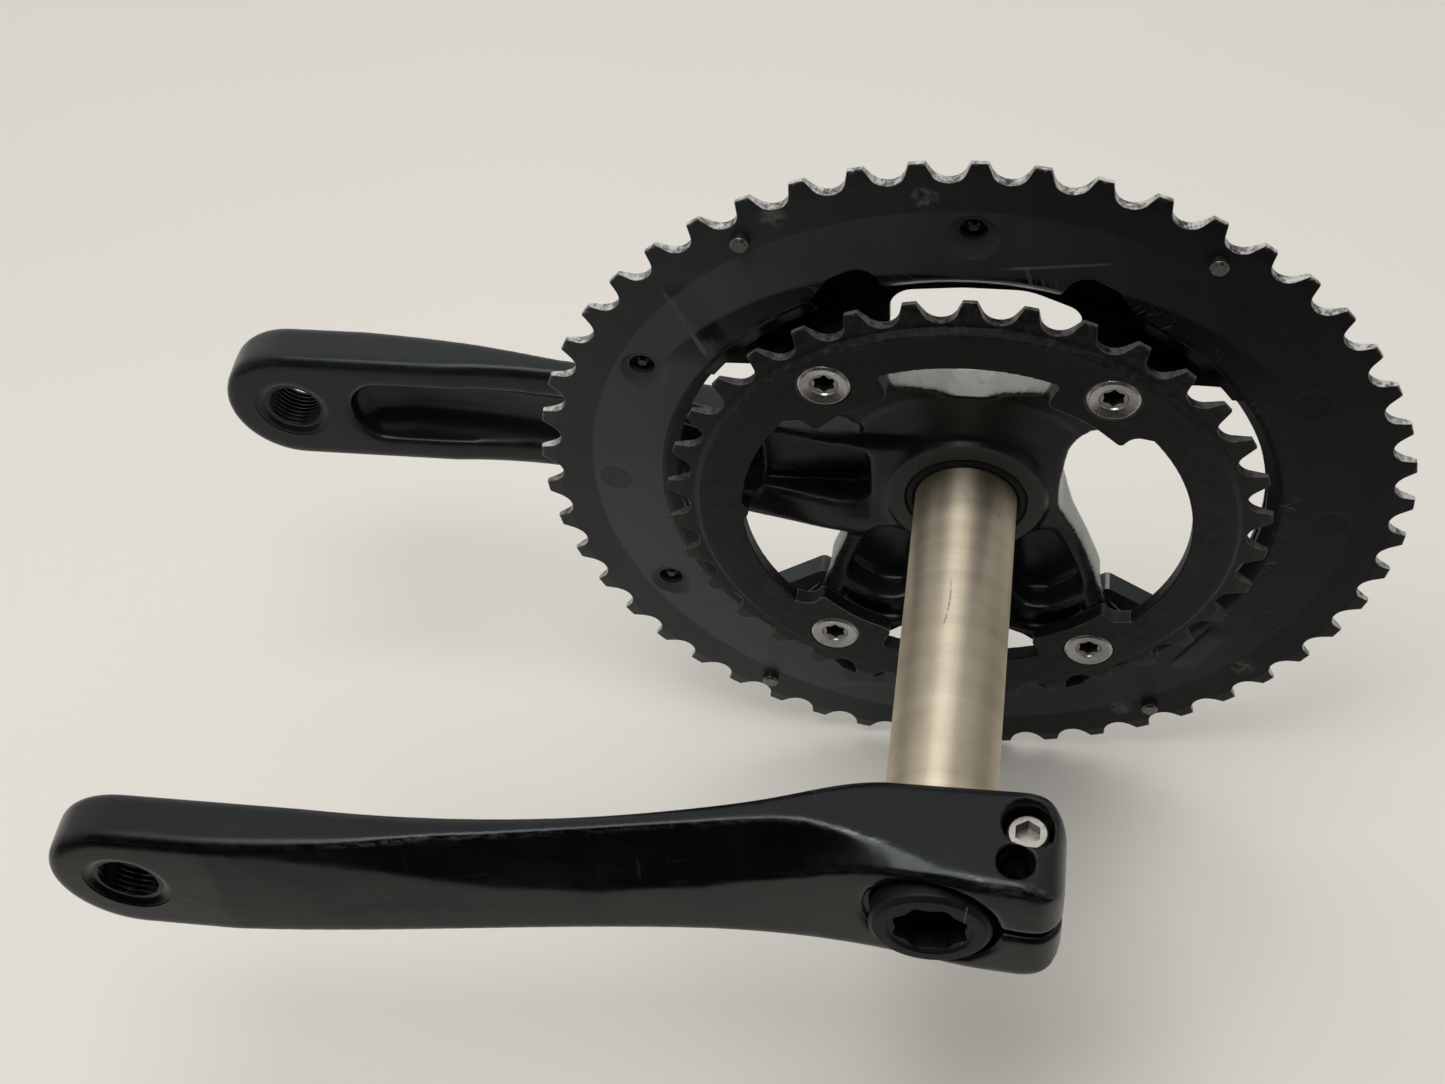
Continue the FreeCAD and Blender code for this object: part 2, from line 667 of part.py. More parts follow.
def right_crank_arm():
    """Spider, hub and right arm in one forging."""
    face = size("bearing_face")
    tab = size("small_back") + 0.02
    back = size("tab_back")
    hub = size("hub_radius")
    hub_top = 69.0
    spider_body = turned("SpiderTurned", [
        (0, face, 0), (hub, face, 0.5), (hub + 0.6, face + 2.2, 1.0), (24.5, face + 3.2, 4),
        (33.0, face + 3.0, 8), (41.0, face - 0.6, 6), (44.6, tab, 1), (57.4, tab, 0.8), (57.4, back, 0.5),
        (44.3, back, 0.3), (44.1, 53.6, 1.2), (36.0, 56.4, 8), (27.0, 58.4, 6), (19.5, 67.0, 4),
        (16.5, hub_top, 1.5), (0, hub_top, 0)])
    right_half = [
        (21.9, -4.0, 10), (36.2, -34.0, 6), (42.6, -42.0, 6), (41.0, -50.0, 6), (29.0, -57.0, 7),
        (20.4, -50.5, 4), (15.0, -46.0, 4), (6.0, -42.0, 4)]
    top_right = [(8.0, 35.4, 3), (17.0, 39.6, 4), (20.4, 50.5, 4), (29.0, 57.0, 7), (41.0, 50.0, 6),
                 (42.6, 42.0, 6), (37.0, 31.6, 5), (28.6, 25.6, 5), (23.2, 16.0, 14), (21.7, 3.0, 16)]
    left_half = [(-u, v, radius) for u, v, radius in reversed(right_half)]
    top_left = [(-u, v, radius) for u, v, radius in reversed(top_right)]
    notch = [(4.0, 32.6, 3)]
    outline = right_half + left_half + top_left + mirrored(notch, -1, 1) + notch + top_right
    spider_plan = plan_prism("SpiderPlan", [rounded(outline)], face - 6, 70.0)
    spider = common("Spider", [spider_body, spider_plan])

    blade_end = 8.0
    facet_end = -26.0
    blade_plan = plan_prism("RightBladePlan", [arm_plan(blade_end, 0)], face - 6, 80.0)
    end_corners = [(blade_end, 68.6, 0), (blade_end, face + 1.2, 0)]
    side_outline = arm_side_outline(1, RIGHT_INNER_LINE, end_corners)
    blade_side = side_prism("RightBladeSide", side_outline, -ARM_REACH, ARM_REACH)
    blade = common("RightBlade", [blade_plan, blade_side])
    soft = softened("RightBladeSoft", blade, size("arm_edge_radius"))
    faceted = cut("RightBladeFaceted", soft, [facet_cutter("RightFacet", RIGHT_FACET_STATIONS, 1, facet_end)])
    forging = fuse("RightForging", [spider, faceted])

    # long trough in the inner side of the arm, ending short of the pedal boss
    trough = doc.addObject("Part::Loft", "ArmTrough")
    trough.Sections = [trough_section(index, *station) for index, station in enumerate(TROUGH_STATIONS)]
    trough.Solid = True
    trough.Ruled = True
    root_end = -50.0
    pedal_end = -154.4
    trough_corners = [
        (root_end, -TROUGH_HALF, 5), (pedal_end, -TROUGH_HALF, 8.6), (pedal_end, TROUGH_HALF, 8.6),
        (root_end, TROUGH_HALF, 5)]
    trough_plan = plan_prism("ArmTroughPlan", [rounded(trough_corners)], face - 8, 80.0)
    arm_trough = common("ArmTroughRounded", [trough, trough_plan])

    # hollow at the arm's root, hollows of the two lower spider arms and the thin shelves below them
    root_floor = 54.6
    lower_floor = 51.4
    shelf_floor = 43.4
    root_corners = [(-24.0, -4.0, 3), (-24.0, 14.0, 5), (-47.5, 13.5, 5), (-47.5, -4.0, 4)]
    root_pocket = plan_prism("RootPocket", [rounded(root_corners)], face - 8, root_floor)
    lower_corners = [
        (12.5, -15.5, 3), (12.5, -38.0, 4), (22.0, -37.5, 5), (29.5, -30.5, 4), (21.0, -12.5, 3.5)]
    lower_outlines = [rounded(mirrored(lower_corners, side, 1)) for side in (1, -1)]
    lower_pockets = plan_prism("LowerPockets", lower_outlines, face - 8, lower_floor)
    shelf_corners = [
        (12.5, -30.0, 3), (12.5, -42.5, 4), (23.5, -43.0, 6), (30.0, -36.0, 4), (29.5, -28.0, 2)]
    shelf_outlines = [rounded(mirrored(shelf_corners, side, 1)) for side in (1, -1)]
    lower_shelves = plan_prism("LowerShelves", shelf_outlines, face - 8, shelf_floor)

    # hub bore, seal seat, outer plug seat, pedal thread and ring-bolt holes
    tools = [
        arm_trough, root_pocket, lower_pockets, lower_shelves,
        cylinder("HubBore", size("spindle_radius") + 0.01, (0, face - 2, 0), (0, 1, 0),
                 size("spindle_right_end") - face + 2),
        cylinder("SealSeat", "hub_seat_radius", (0, face - 2, 0), (0, 1, 0), 3.6),
        cylinder("PlugSeat", 10.0, (0, 60.0, 0), (0, 1, 0), 12.0),
        cylinder("RightPedalBore", "pedal_bore_radius", (-size("crank_length"), 50, 0), (0, 1, 0), 40.0)]
    for index, (x, z) in enumerate(bolt_places()):
        tools.append(cylinder(f"TabHole{index}", size("ring_bolt_shank_radius") + 0.2,
                              (x, face - 6, z), (0, 1, 0), 12.0))
    return node("right_crank_arm", cut("RightArmCut", forging, tools))


def left_crank_arm():
    """Arm with a split clamp, a recess for the preload cap and two opposed pinch bolts."""
    face = size("bearing_face")
    half = size("arm_half_width")
    end = size("clamp_end")
    blade_plan = plan_prism("LeftBladePlan", [arm_plan(end, 9.0)], -80.0, -face + 6)
    end_outer = HUB_LINE[-1][1]
    end_inner = LEFT_INNER_LINE[0][1]
    end_corners = [(*HUB_LINE[0], 20), (*HUB_LINE[1], 0), (end, end_outer, 0), (end, end_inner, 0)]
    side_outline = arm_side_outline(-1, LEFT_INNER_LINE, end_corners)
    blade_side = side_prism("LeftBladeSide", side_outline, -ARM_REACH, ARM_REACH)
    blade = common("LeftBlade", [blade_plan, blade_side])
    soft = softened("LeftBladeSoft", blade, size("arm_edge_radius"))
    faceted = cut("LeftBladeFaceted", soft, [
        facet_cutter("LeftFacet", FACET_STATIONS, -1, end),
        end_rounding("EndOuterRounding", 5.8, -end_outer, -1),
        end_rounding("EndInnerRounding", 8.0, -end_inner, 1)])

    inner_x = size("inner_bolt_x")
    inner_y = size("clamp_bolt_inner")
    outer_x = size("outer_bolt_x")
    outer_y = size("clamp_bolt_outer")
    bore = size("clamp_bolt_radius")
    head = size("clamp_head_radius") + 1.1
    head_seat = size("clamp_head_top") - size("clamp_head_height") - size("clamp_washer")
    mouth_depth = 2.5
    slot = doc.addObject("Part::Box", "ClampSlot")
    slot.Length = end
    slot.Width = 40
    slot.setExpression("Height", "Sizes.slot_width")
    slot.Placement = Placement(Vector(2, -80, -size("slot_width") / 2), Rotation())
    tools = [
        cylinder("ClampBore", size("spindle_radius") + 0.01, (0, -80, 0), (0, 1, 0), 50.0),
        cylinder("CapRecess", "cap_recess_radius", (0, -80, 0), (0, 1, 0),
                 80 + size("cap_recess_floor")),
        cylinder("LeftPedalBore", "pedal_bore_radius", (-size("crank_length"), -90, 0), (0, 1, 0), 40.0),
        slot,
        cylinder("InnerBoltHole", bore + 0.02, (inner_x, inner_y, -30), (0, 0, 1), 60.0),
        cylinder("OuterBoltHole", bore + 0.02, (outer_x, outer_y, -30), (0, 0, 1), 60.0),
        cylinder("OuterBoltMouth", bore + 0.9, (outer_x, outer_y, half - mouth_depth), (0, 0, 1), 6.0),
        cylinder("InnerBoltMouth", bore + 0.9, (inner_x, inner_y, mouth_depth - half), (0, 0, -1), 6.0),
        cylinder("InnerHeadSeat", head, (inner_x, inner_y, head_seat), (0, 0, 1), 20.0),
        cylinder("OuterHeadSeat", head, (outer_x, outer_y, -head_seat), (0, 0, -1), 20.0)]
    return node("left_crank_arm", cut("LeftArmCut", faceted, tools))


# ------------------------------------------------------------------ spindle and its small parts
def spindle():
    """Hollow steel axle, splined at its left end and pressed into the right arm's hub."""
    length = size("spindle_right_end") - size("spindle_left_end")
    radius = size("spindle_radius")
    tube = doc.addObject("Part::Cylinder", "SpindleOuter")
    tube.setExpression("Radius", "Sizes.spindle_radius")
    tube.setExpression("Height", "Sizes.spindle_right_end - Sizes.spindle_left_end")
    hollow = doc.addObject("Part::Cylinder", "SpindleBore")
    hollow.setExpression("Radius", "Sizes.spindle_bore_radius")
    hollow.Height = length + 2
    hollow.Placement = Placement(Vector(0, 0, -1), Rotation())
    grooves = []
    count = 16
    spline_length = 15.5
    for index in range(count):
        u, v = polar(radius + 0.35, (index + 0.5) * 360.0 / count)
        groove = doc.addObject("Part::Cylinder", f"SplineGroove{index}")
        groove.Radius = 0.9
        groove.Height = spline_length
        groove.Placement = Placement(Vector(u, v, length - spline_length), Rotation())
        grooves.append(groove)
    pin_width = 3.0
    pin_reach = 7.0
    pin_slot = doc.addObject("Part::Box", "PlatePinSlot")
    pin_slot.Length = 3.0
    pin_slot.Width = pin_width
    pin_slot.Height = pin_reach
    pin_place = size("spindle_right_end") - size("clamp_bolt_outer") - pin_reach / 2
    pin_slot.Placement = Placement(Vector(radius - 1.5, -pin_width / 2, pin_place), Rotation())
    item = cut("SpindleCut", tube, [hollow, pin_slot] + grooves)
    item.Placement = Placement(Vector(0, 0, 0), STOOD_UP)
    item.setExpression("Placement.Base.y", "Sizes.spindle_right_end")
    return node("spindle", item)


def spindle_seal():
    """Rubber ring in the hub's seat, round the foot of the spindle."""
    body = new_body("spindle_seal", "bearing_face")
    inner = size("spindle_radius") + 0.05
    outer = size("hub_seat_radius") - 0.05
    revolve(body, "Turned", [
        (inner, -1.5, 0), (inner, -0.1, 0.4), (inner + 0.9, 0.5, 0.4), (outer, -0.5, 0.4),
        (outer, -1.5, 0)])
    return body


def drive_side_plug():
    """Cover that closes the spindle's hollow in the outer face of the hub."""
    body = new_body("drive_side_plug", "spindle_right_end")
    outer = size("spindle_bore_radius") - 0.03
    revolve(body, "Turned", [
        (0, -1.4, 0), (outer - 1.6, -1.4, 0.6), (outer, -0.6, 0.3), (outer, 5.0, 0.3),
        (outer - 1.6, 5.0, 0), (outer - 1.6, 0.4, 0.4), (0, 0.4, 0)])
    return body


def preload_cap():
    """Screw cap in the left arm's recess, with an eight-lobe socket and a threaded skirt."""
    body = new_body("preload_cap", "cap_face")
    cap = size("cap_radius")
    face = size("cap_face")
    flange = -(size("cap_recess_floor") - 0.25 - face)
    skirt = -(size("cap_recess_floor") + 7.5 - face)
    thread = size("spindle_bore_radius") - 0.05
    revolve(body, "Turned", [
        (0, -6.2, 0), (8.8, -6.2, 0.3), (8.8, -0.5, 0.3), (9.2, 0, 0.2), (cap - 1.0, 0, 0.5),
        (cap, -1.0, 0.5), (cap, flange, 0.2), (thread, flange, 0.2), (thread, skirt, 0.3),
        (thread - 1.6, skirt, 0.2), (thread - 1.6, -7.6, 0.3), (0, -7.6, 0)])
    ring = pad(body, "SocketWall", [circle(0, 0, 8.9), lobed(8.4, 7.1, 8, 22.5)], -6.4, -0.5)
    body.Tip = ring
    return body


def stopper_plate():
    """Plate in the clamp slot that swings about the outer pinch bolt; its pin locks the arm on."""
    thick = size("slot_width") - 0.6
    bolt_x = size("outer_bolt_x")
    outer_y = size("clamp_bolt_outer")
    plate = doc.addObject("Part::Extrusion", "StopperBlank")
    corners = [
        (-3.6, 2.8, 1.5), (-3.6, -4.0, 1.5), (1.0, -5.0, 2), (3.8, -3.4, 1.0), (4.6, 1.0, 2),
        (3.6, 3.9, 2)]
    outline = rounded([(bolt_x + u, outer_y + v, radius) for u, v, radius in corners])
    level = Placement(Vector(0, 0, -thick / 2), Rotation())
    plate.Base = loose_sketch("StopperOutline", [outline], level)
    plate.DirMode = "Custom"
    plate.Dir = Z_AXIS
    plate.LengthFwd = thick
    plate.Solid = True
    pin = cylinder("StopperPin", 0.75, (bolt_x - 3.2, outer_y, 0), (-1, 0, 0), 2.1)
    hole = cylinder("StopperHole", size("clamp_bolt_radius") + 0.08, (bolt_x, outer_y, -5),
                    (0, 0, 1), 10.0)
    return node("stopper_plate", cut("StopperCut", fuse("StopperSolid", [plate, pin]), [hole]))


def clamp_bolt(label, x_alias, y_alias, side):
    """Pinch bolt with a hexagon socket and its washer; side is 1 for a head that faces up."""
    head_top = size("clamp_head_top")
    washer = size("clamp_washer")
    radius = size("clamp_bolt_radius")
    head = size("clamp_head_radius")
    length = 19.0
    turn = Rotation() if side > 0 else Rotation(X_AXIS, 180)
    bolt = doc.addObject("PartDesign::Body", "Body_" + label)
    bolt.Placement = Placement(Vector(), turn)
    bolt.setExpression("Placement.Base.x", "Sizes." + x_alias)
    bolt.setExpression("Placement.Base.y", "Sizes." + y_alias)
    node(label, bolt)
    seat = head_top - size("clamp_head_height")
    revolve(bolt, "Turned", [
        (0, head_top, 0), (head - 0.4, head_top, 0.3), (head, head_top - 0.5, 0.3), (head, seat, 0.1),
        (radius, seat, 0.1), (radius, head_top - length + 0.6, 0.1), (radius - 0.6, head_top - length, 0),
        (0, head_top - length, 0)])
    across = 5.0
    corners = [(*polar(across / math.sqrt(3), 60 * index + 30), 0) for index in range(6)]
    pocket(bolt, "Socket", [rounded(corners)], head_top, 3.0)
    ring = doc.addObject("PartDesign::Body", "Body_" + label + "_washer")
    ring.Placement = Placement(Vector(), turn)
    ring.setExpression("Placement.Base.x", "Sizes." + x_alias)
    ring.setExpression("Placement.Base.y", "Sizes." + y_alias)
    node(label + "_washer", ring)
    revolve(ring, "Turned", [
        (radius + 0.2, seat - washer, 0), (head + 0.3, seat - washer, 0.2), (head + 0.3, seat, 0.2),
        (radius + 0.2, seat, 0)])
    return bolt


# ------------------------------------------------------------------ the whole crankset
right_crank_arm()
left_crank_arm()
spindle()
spindle_seal()
drive_side_plug()
large_chainring()
small_chainring()
for number, (x, z) in enumerate(bolt_places(), start=1):
    chainring_bolt(number, x, z)
for number, near in enumerate(SHIFT_PIN_ANGLES, start=1):
    shift_pin(number, root_angle(near))
for number, turn in enumerate(RIVET_ANGLES, start=1):
    carrier_rivet(number, turn)
chain_drop_pin()
preload_cap()
stopper_plate()
clamp_bolt("clamp_bolt_inner", "inner_bolt_x", "clamp_bolt_inner", 1)
clamp_bolt("clamp_bolt_outer", "outer_bolt_x", "clamp_bolt_outer", -1)

doc.recompute()

# ------------------------------------------------------------------ checks and export
failed = [item.Name for item in doc.Objects if "Invalid" in item.State or "Error" in item.State]
if failed:
    raise RuntimeError("failed to build: " + ", ".join(failed))
os.makedirs("parts", exist_ok=True)
for item in NODES:
    shape = item.Shape
    if shape.isNull() or not shape.isValid() or not shape.Solids:
        raise RuntimeError("bad shape: " + item.Label)
    shape.exportStep(f"parts/{item.Label}.step")
    box = shape.BoundBox
    print(f"{item.Label}: {len(shape.Solids)} solid(s), {shape.Volume / 1000:.2f} cm3, "
          f"x {box.XMin:.1f}..{box.XMax:.1f} y {box.YMin:.1f}..{box.YMax:.1f} "
          f"z {box.ZMin:.1f}..{box.ZMax:.1f}")
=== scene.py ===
import math

import bmesh
import bpy
import numpy as np
from mathutils import Matrix, Vector


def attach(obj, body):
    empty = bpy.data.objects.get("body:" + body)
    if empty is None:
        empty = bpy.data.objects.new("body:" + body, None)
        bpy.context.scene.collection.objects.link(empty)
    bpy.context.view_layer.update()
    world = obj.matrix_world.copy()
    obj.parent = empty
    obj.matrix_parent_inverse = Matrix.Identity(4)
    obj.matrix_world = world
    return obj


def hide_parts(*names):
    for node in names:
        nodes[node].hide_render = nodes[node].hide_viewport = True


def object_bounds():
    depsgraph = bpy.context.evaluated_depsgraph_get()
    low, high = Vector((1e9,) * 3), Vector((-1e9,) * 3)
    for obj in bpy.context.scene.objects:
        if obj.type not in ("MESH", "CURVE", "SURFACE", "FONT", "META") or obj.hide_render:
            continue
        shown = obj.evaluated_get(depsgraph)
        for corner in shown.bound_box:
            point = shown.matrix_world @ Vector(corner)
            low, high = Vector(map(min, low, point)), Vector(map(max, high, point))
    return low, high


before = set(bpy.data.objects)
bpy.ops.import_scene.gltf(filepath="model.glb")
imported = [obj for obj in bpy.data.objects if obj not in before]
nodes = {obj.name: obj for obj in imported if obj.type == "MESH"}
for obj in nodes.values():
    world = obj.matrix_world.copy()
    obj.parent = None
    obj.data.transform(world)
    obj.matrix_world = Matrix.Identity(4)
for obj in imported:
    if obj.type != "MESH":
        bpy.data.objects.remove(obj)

CAD_LOW, CAD_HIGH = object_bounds()
MM = 0.001
scene = bpy.context.scene


# ------------------------------------------------------------------ shader helpers
class Shader:
    """Builds one material's node tree; coordinates are in millimetres of the row frame."""

    def __init__(self, name):
        self.material = bpy.data.materials.new(name)
        self.material.use_nodes = True
        self.tree = self.material.node_tree
        self.surface = next(n for n in self.tree.nodes if n.type == "BSDF_PRINCIPLED")
        coordinate = self.add("ShaderNodeTexCoord")
        scaled = self.add("ShaderNodeVectorMath", operation="SCALE")
        scaled.inputs["Scale"].default_value = 1000.0
        self.tree.links.new(coordinate.outputs["Object"], scaled.inputs[0])
        self.mm = scaled.outputs["Vector"]
        parts = self.add("ShaderNodeSeparateXYZ")
        self.tree.links.new(self.mm, parts.inputs[0])
        self.x, self.y, self.z = parts.outputs
        self.bumped = None

    def add(self, kind, **settings):
        item = self.tree.nodes.new(kind)
        for key, value in settings.items():
            setattr(item, key, value)
        return item

    def feed(self, socket, value):
        if isinstance(value, bpy.types.NodeSocket):
            self.tree.links.new(value, socket)
        else:
            socket.default_value = value

    def math(self, operation, a, b=0.0, c=0.0, clamp=False):
        item = self.add("ShaderNodeMath", operation=operation, use_clamp=clamp)
        for socket, value in zip(item.inputs, (a, b, c)):
            self.feed(socket, value)
        return item.outputs[0]

    def span(self, value, low, high, to_low=0.0, to_high=1.0):
        item = self.add("ShaderNodeMapRange", interpolation_type="SMOOTHSTEP")
        for key, number in (("Value", value), ("From Min", low), ("From Max", high),
                            ("To Min", to_low), ("To Max", to_high)):
            self.feed(item.inputs[key], number)
        return item.outputs["Result"]

    def noise(self, per_mm, detail=3.0, roughness=0.55, offset=0.0, turn=(0, 0, 0), source=None):
        """Noise with so many features per millimetre along x, y and z."""
        scale = (per_mm,) * 3 if isinstance(per_mm, float) else per_mm
        mapping = self.add("ShaderNodeMapping")
        self.feed(mapping.inputs["Vector"], source or self.mm)
        if any(turn):
            spun = self.add("ShaderNodeVectorRotate", rotation_type="EULER_XYZ")
            self.feed(spun.inputs["Vector"], source or self.mm)
            spun.inputs["Rotation"].default_value = turn
            self.feed(mapping.inputs["Vector"], spun.outputs[0])
        mapping.inputs["Location"].default_value = (offset, offset * 1.7, offset * 2.3)
        mapping.inputs["Scale"].default_value = scale
        item = self.add("ShaderNodeTexNoise", noise_dimensions="3D")
        item.inputs["Scale"].default_value = 1.0
        item.inputs["Detail"].default_value = detail
        item.inputs["Roughness"].default_value = roughness
        self.feed(item.inputs["Vector"], mapping.outputs[0])
        return item.outputs[0]

    def mix(self, factor, a, b):
        item = self.add("ShaderNodeMix", data_type="RGBA")
        self.feed(item.inputs[0], factor)
        for socket, value in ((item.inputs[6], a), (item.inputs[7], b)):
            self.feed(socket, value if isinstance(value, bpy.types.NodeSocket) else (*value, 1.0))
        return item.outputs[2]

    def blend(self, factor, a, b):
        item = self.add("ShaderNodeMix", data_type="FLOAT")
        for socket, value in zip(item.inputs[:1] + item.inputs[2:4], (factor, a, b)):
            self.feed(socket, value)
        return item.outputs[0]

    def radius(self):
        """Distance from the spindle axis."""
        return self.math("SQRT", self.math("ADD", self.math("MULTIPLY", self.x, self.x),
                                           self.math("MULTIPLY", self.z, self.z)))

    def away(self, x, z):
        """Distance from an axis parallel to the spindle."""
        dx = self.math("SUBTRACT", self.x, x)
        dz = self.math("SUBTRACT", self.z, z)
        return self.math("SQRT", self.math("ADD", self.math("MULTIPLY", dx, dx),
                                           self.math("MULTIPLY", dz, dz)))

    def side_facing(self):
        """1 on faces that look sideways, such as tooth flanks; 0 on faces square to the spindle."""
        return self.span(self.math("ABSOLUTE", self.wall()[1]), 0.25, 0.8, 1.0, 0.0)

    def wall(self):
        """Components of the true normal in the row frame: x, y and z."""
        geometry = self.add("ShaderNodeNewGeometry")
        transform = self.add("ShaderNodeVectorTransform", vector_type="NORMAL",
                             convert_from="WORLD", convert_to="OBJECT")
        parts = self.add("ShaderNodeSeparateXYZ")
        self.tree.links.new(geometry.outputs["True Normal"], transform.inputs[0])
        self.tree.links.new(transform.outputs[0], parts.inputs[0])
        return parts.outputs

    def all_of(self, *masks):
        total = masks[0]
        for mask in masks[1:]:
            total = self.math("MULTIPLY", total, mask)
        return total

    def disc(self, x, z, radius, soft=0.25):
        """1 inside a round mark about an axis parallel to the spindle."""
        return self.span(self.away(x, z), radius - soft, radius + soft, 1.0, 0.0)

    def crease(self, start, end, steep, gentle):
        """Height of a stamped ridge from start to end, steep on its right side and gentle on its left."""
        (x0, z0), (x1, z1) = start, end
        length = math.hypot(x1 - x0, z1 - z0)
        unit_x, unit_z = (x1 - x0) / length, (z1 - z0) / length
        x = self.math("SUBTRACT", self.x, x0)
        z = self.math("SUBTRACT", self.z, z0)
        along = self.math("ADD", self.math("MULTIPLY", x, unit_x), self.math("MULTIPLY", z, unit_z))
        across = self.math("SUBTRACT", self.math("MULTIPLY", z, unit_x), self.math("MULTIPLY", x, unit_z))
        fade_in = self.span(along, -1.0, 5.0)
        fade_out = self.span(along, length - 5.0, length + 1.0, 1.0, 0.0)
        return self.all_of(self.span(across, -steep, 0.0), self.span(across, 0.0, gentle, 1.0, 0.0),
                           fade_in, fade_out)

    def union(self, masks):
        total = masks[0]
        for mask in masks[1:]:
            total = self.math("MAXIMUM", total, mask)
        return total

    def edge(self, radius_mm, low=0.02, high=0.12):
        """1 along sharp edges, found by how far a rounded normal leans from the true one."""
        geometry = self.add("ShaderNodeNewGeometry")
        bevel = self.add("ShaderNodeBevel", samples=6)
        bevel.inputs["Radius"].default_value = radius_mm * MM
        dot = self.add("ShaderNodeVectorMath", operation="DOT_PRODUCT")
        self.tree.links.new(bevel.outputs[0], dot.inputs[0])
        self.tree.links.new(geometry.outputs["Normal"], dot.inputs[1])
        return self.span(dot.outputs["Value"], 1.0 - high, 1.0 - low, 1.0, 0.0)

    def attribute(self, name):
        return self.add("ShaderNodeAttribute", attribute_name=name).outputs["Fac"]

    def strokes(self, slant, cover, seed):
        """Short rubbed strokes that fan out from the spindle axis, leaning by slant."""
        radius = self.radius()
        around = self.math("MULTIPLY", self.math("ARCTAN2", self.x, self.z), 80.0)
        spread = self.add("ShaderNodeCombineXYZ")
        self.feed(spread.inputs["X"], self.math("ADD", around, self.math("MULTIPLY", radius, slant)))
        self.feed(spread.inputs["Y"], radius)
        line = self.noise((1.5, 0.12, 0.02), detail=1.5, offset=seed, source=spread.outputs[0])
        patch = self.noise(0.05, detail=2.0, offset=seed + 31.0)
        return self.math("MULTIPLY", self.span(line, cover, cover + 0.05), self.span(patch, 0.47, 0.62))

    def scratches(self, turns, along=0.05, across=2.2, cover=0.62, seed=0.0):
        """Thin bright lines in several directions of the ring plane."""
        total = None
        for index, turn in enumerate(turns):
            line = self.noise((along, 0.02, across), detail=1.0, offset=seed + 7.3 * index,
                              turn=(0, math.radians(turn), 0))
            thin = self.span(line, cover + 0.03, cover + 0.07)
            patch = self.noise(0.045, detail=1.0, offset=seed + 31 + 5.1 * index)
            thin = self.math("MULTIPLY", thin, self.span(patch, 0.5, 0.66))
            total = thin if total is None else self.math("MAXIMUM", total, thin)
        return total

    def bump(self, height, strength, distance_mm):
        item = self.add("ShaderNodeBump")
        item.inputs["Strength"].default_value = strength
        item.inputs["Distance"].default_value = distance_mm * MM
        self.feed(item.inputs["Height"], height)
        if self.bumped is not None:
            self.feed(item.inputs["Normal"], self.bumped)
        self.bumped = item.outputs[0]

    def finish(self, colour, metallic, roughness, **constants):
        self.feed(self.surface.inputs["Base Color"],
                  colour if isinstance(colour, bpy.types.NodeSocket) else (*colour, 1.0))
        self.feed(self.surface.inputs["Metallic"], metallic)
        self.feed(self.surface.inputs["Roughness"], roughness)
        if self.bumped is not None:
            self.feed(self.surface.inputs["Normal"], self.bumped)
        for key, value in constants.items():
            self.feed(self.surface.inputs[key.replace("_", " ")], value)
        return self.material


# ------------------------------------------------------------------ materials
# Anodised black reflects slightly cool.
COOL = (0.90, 1.0, 0.985, 1.0)


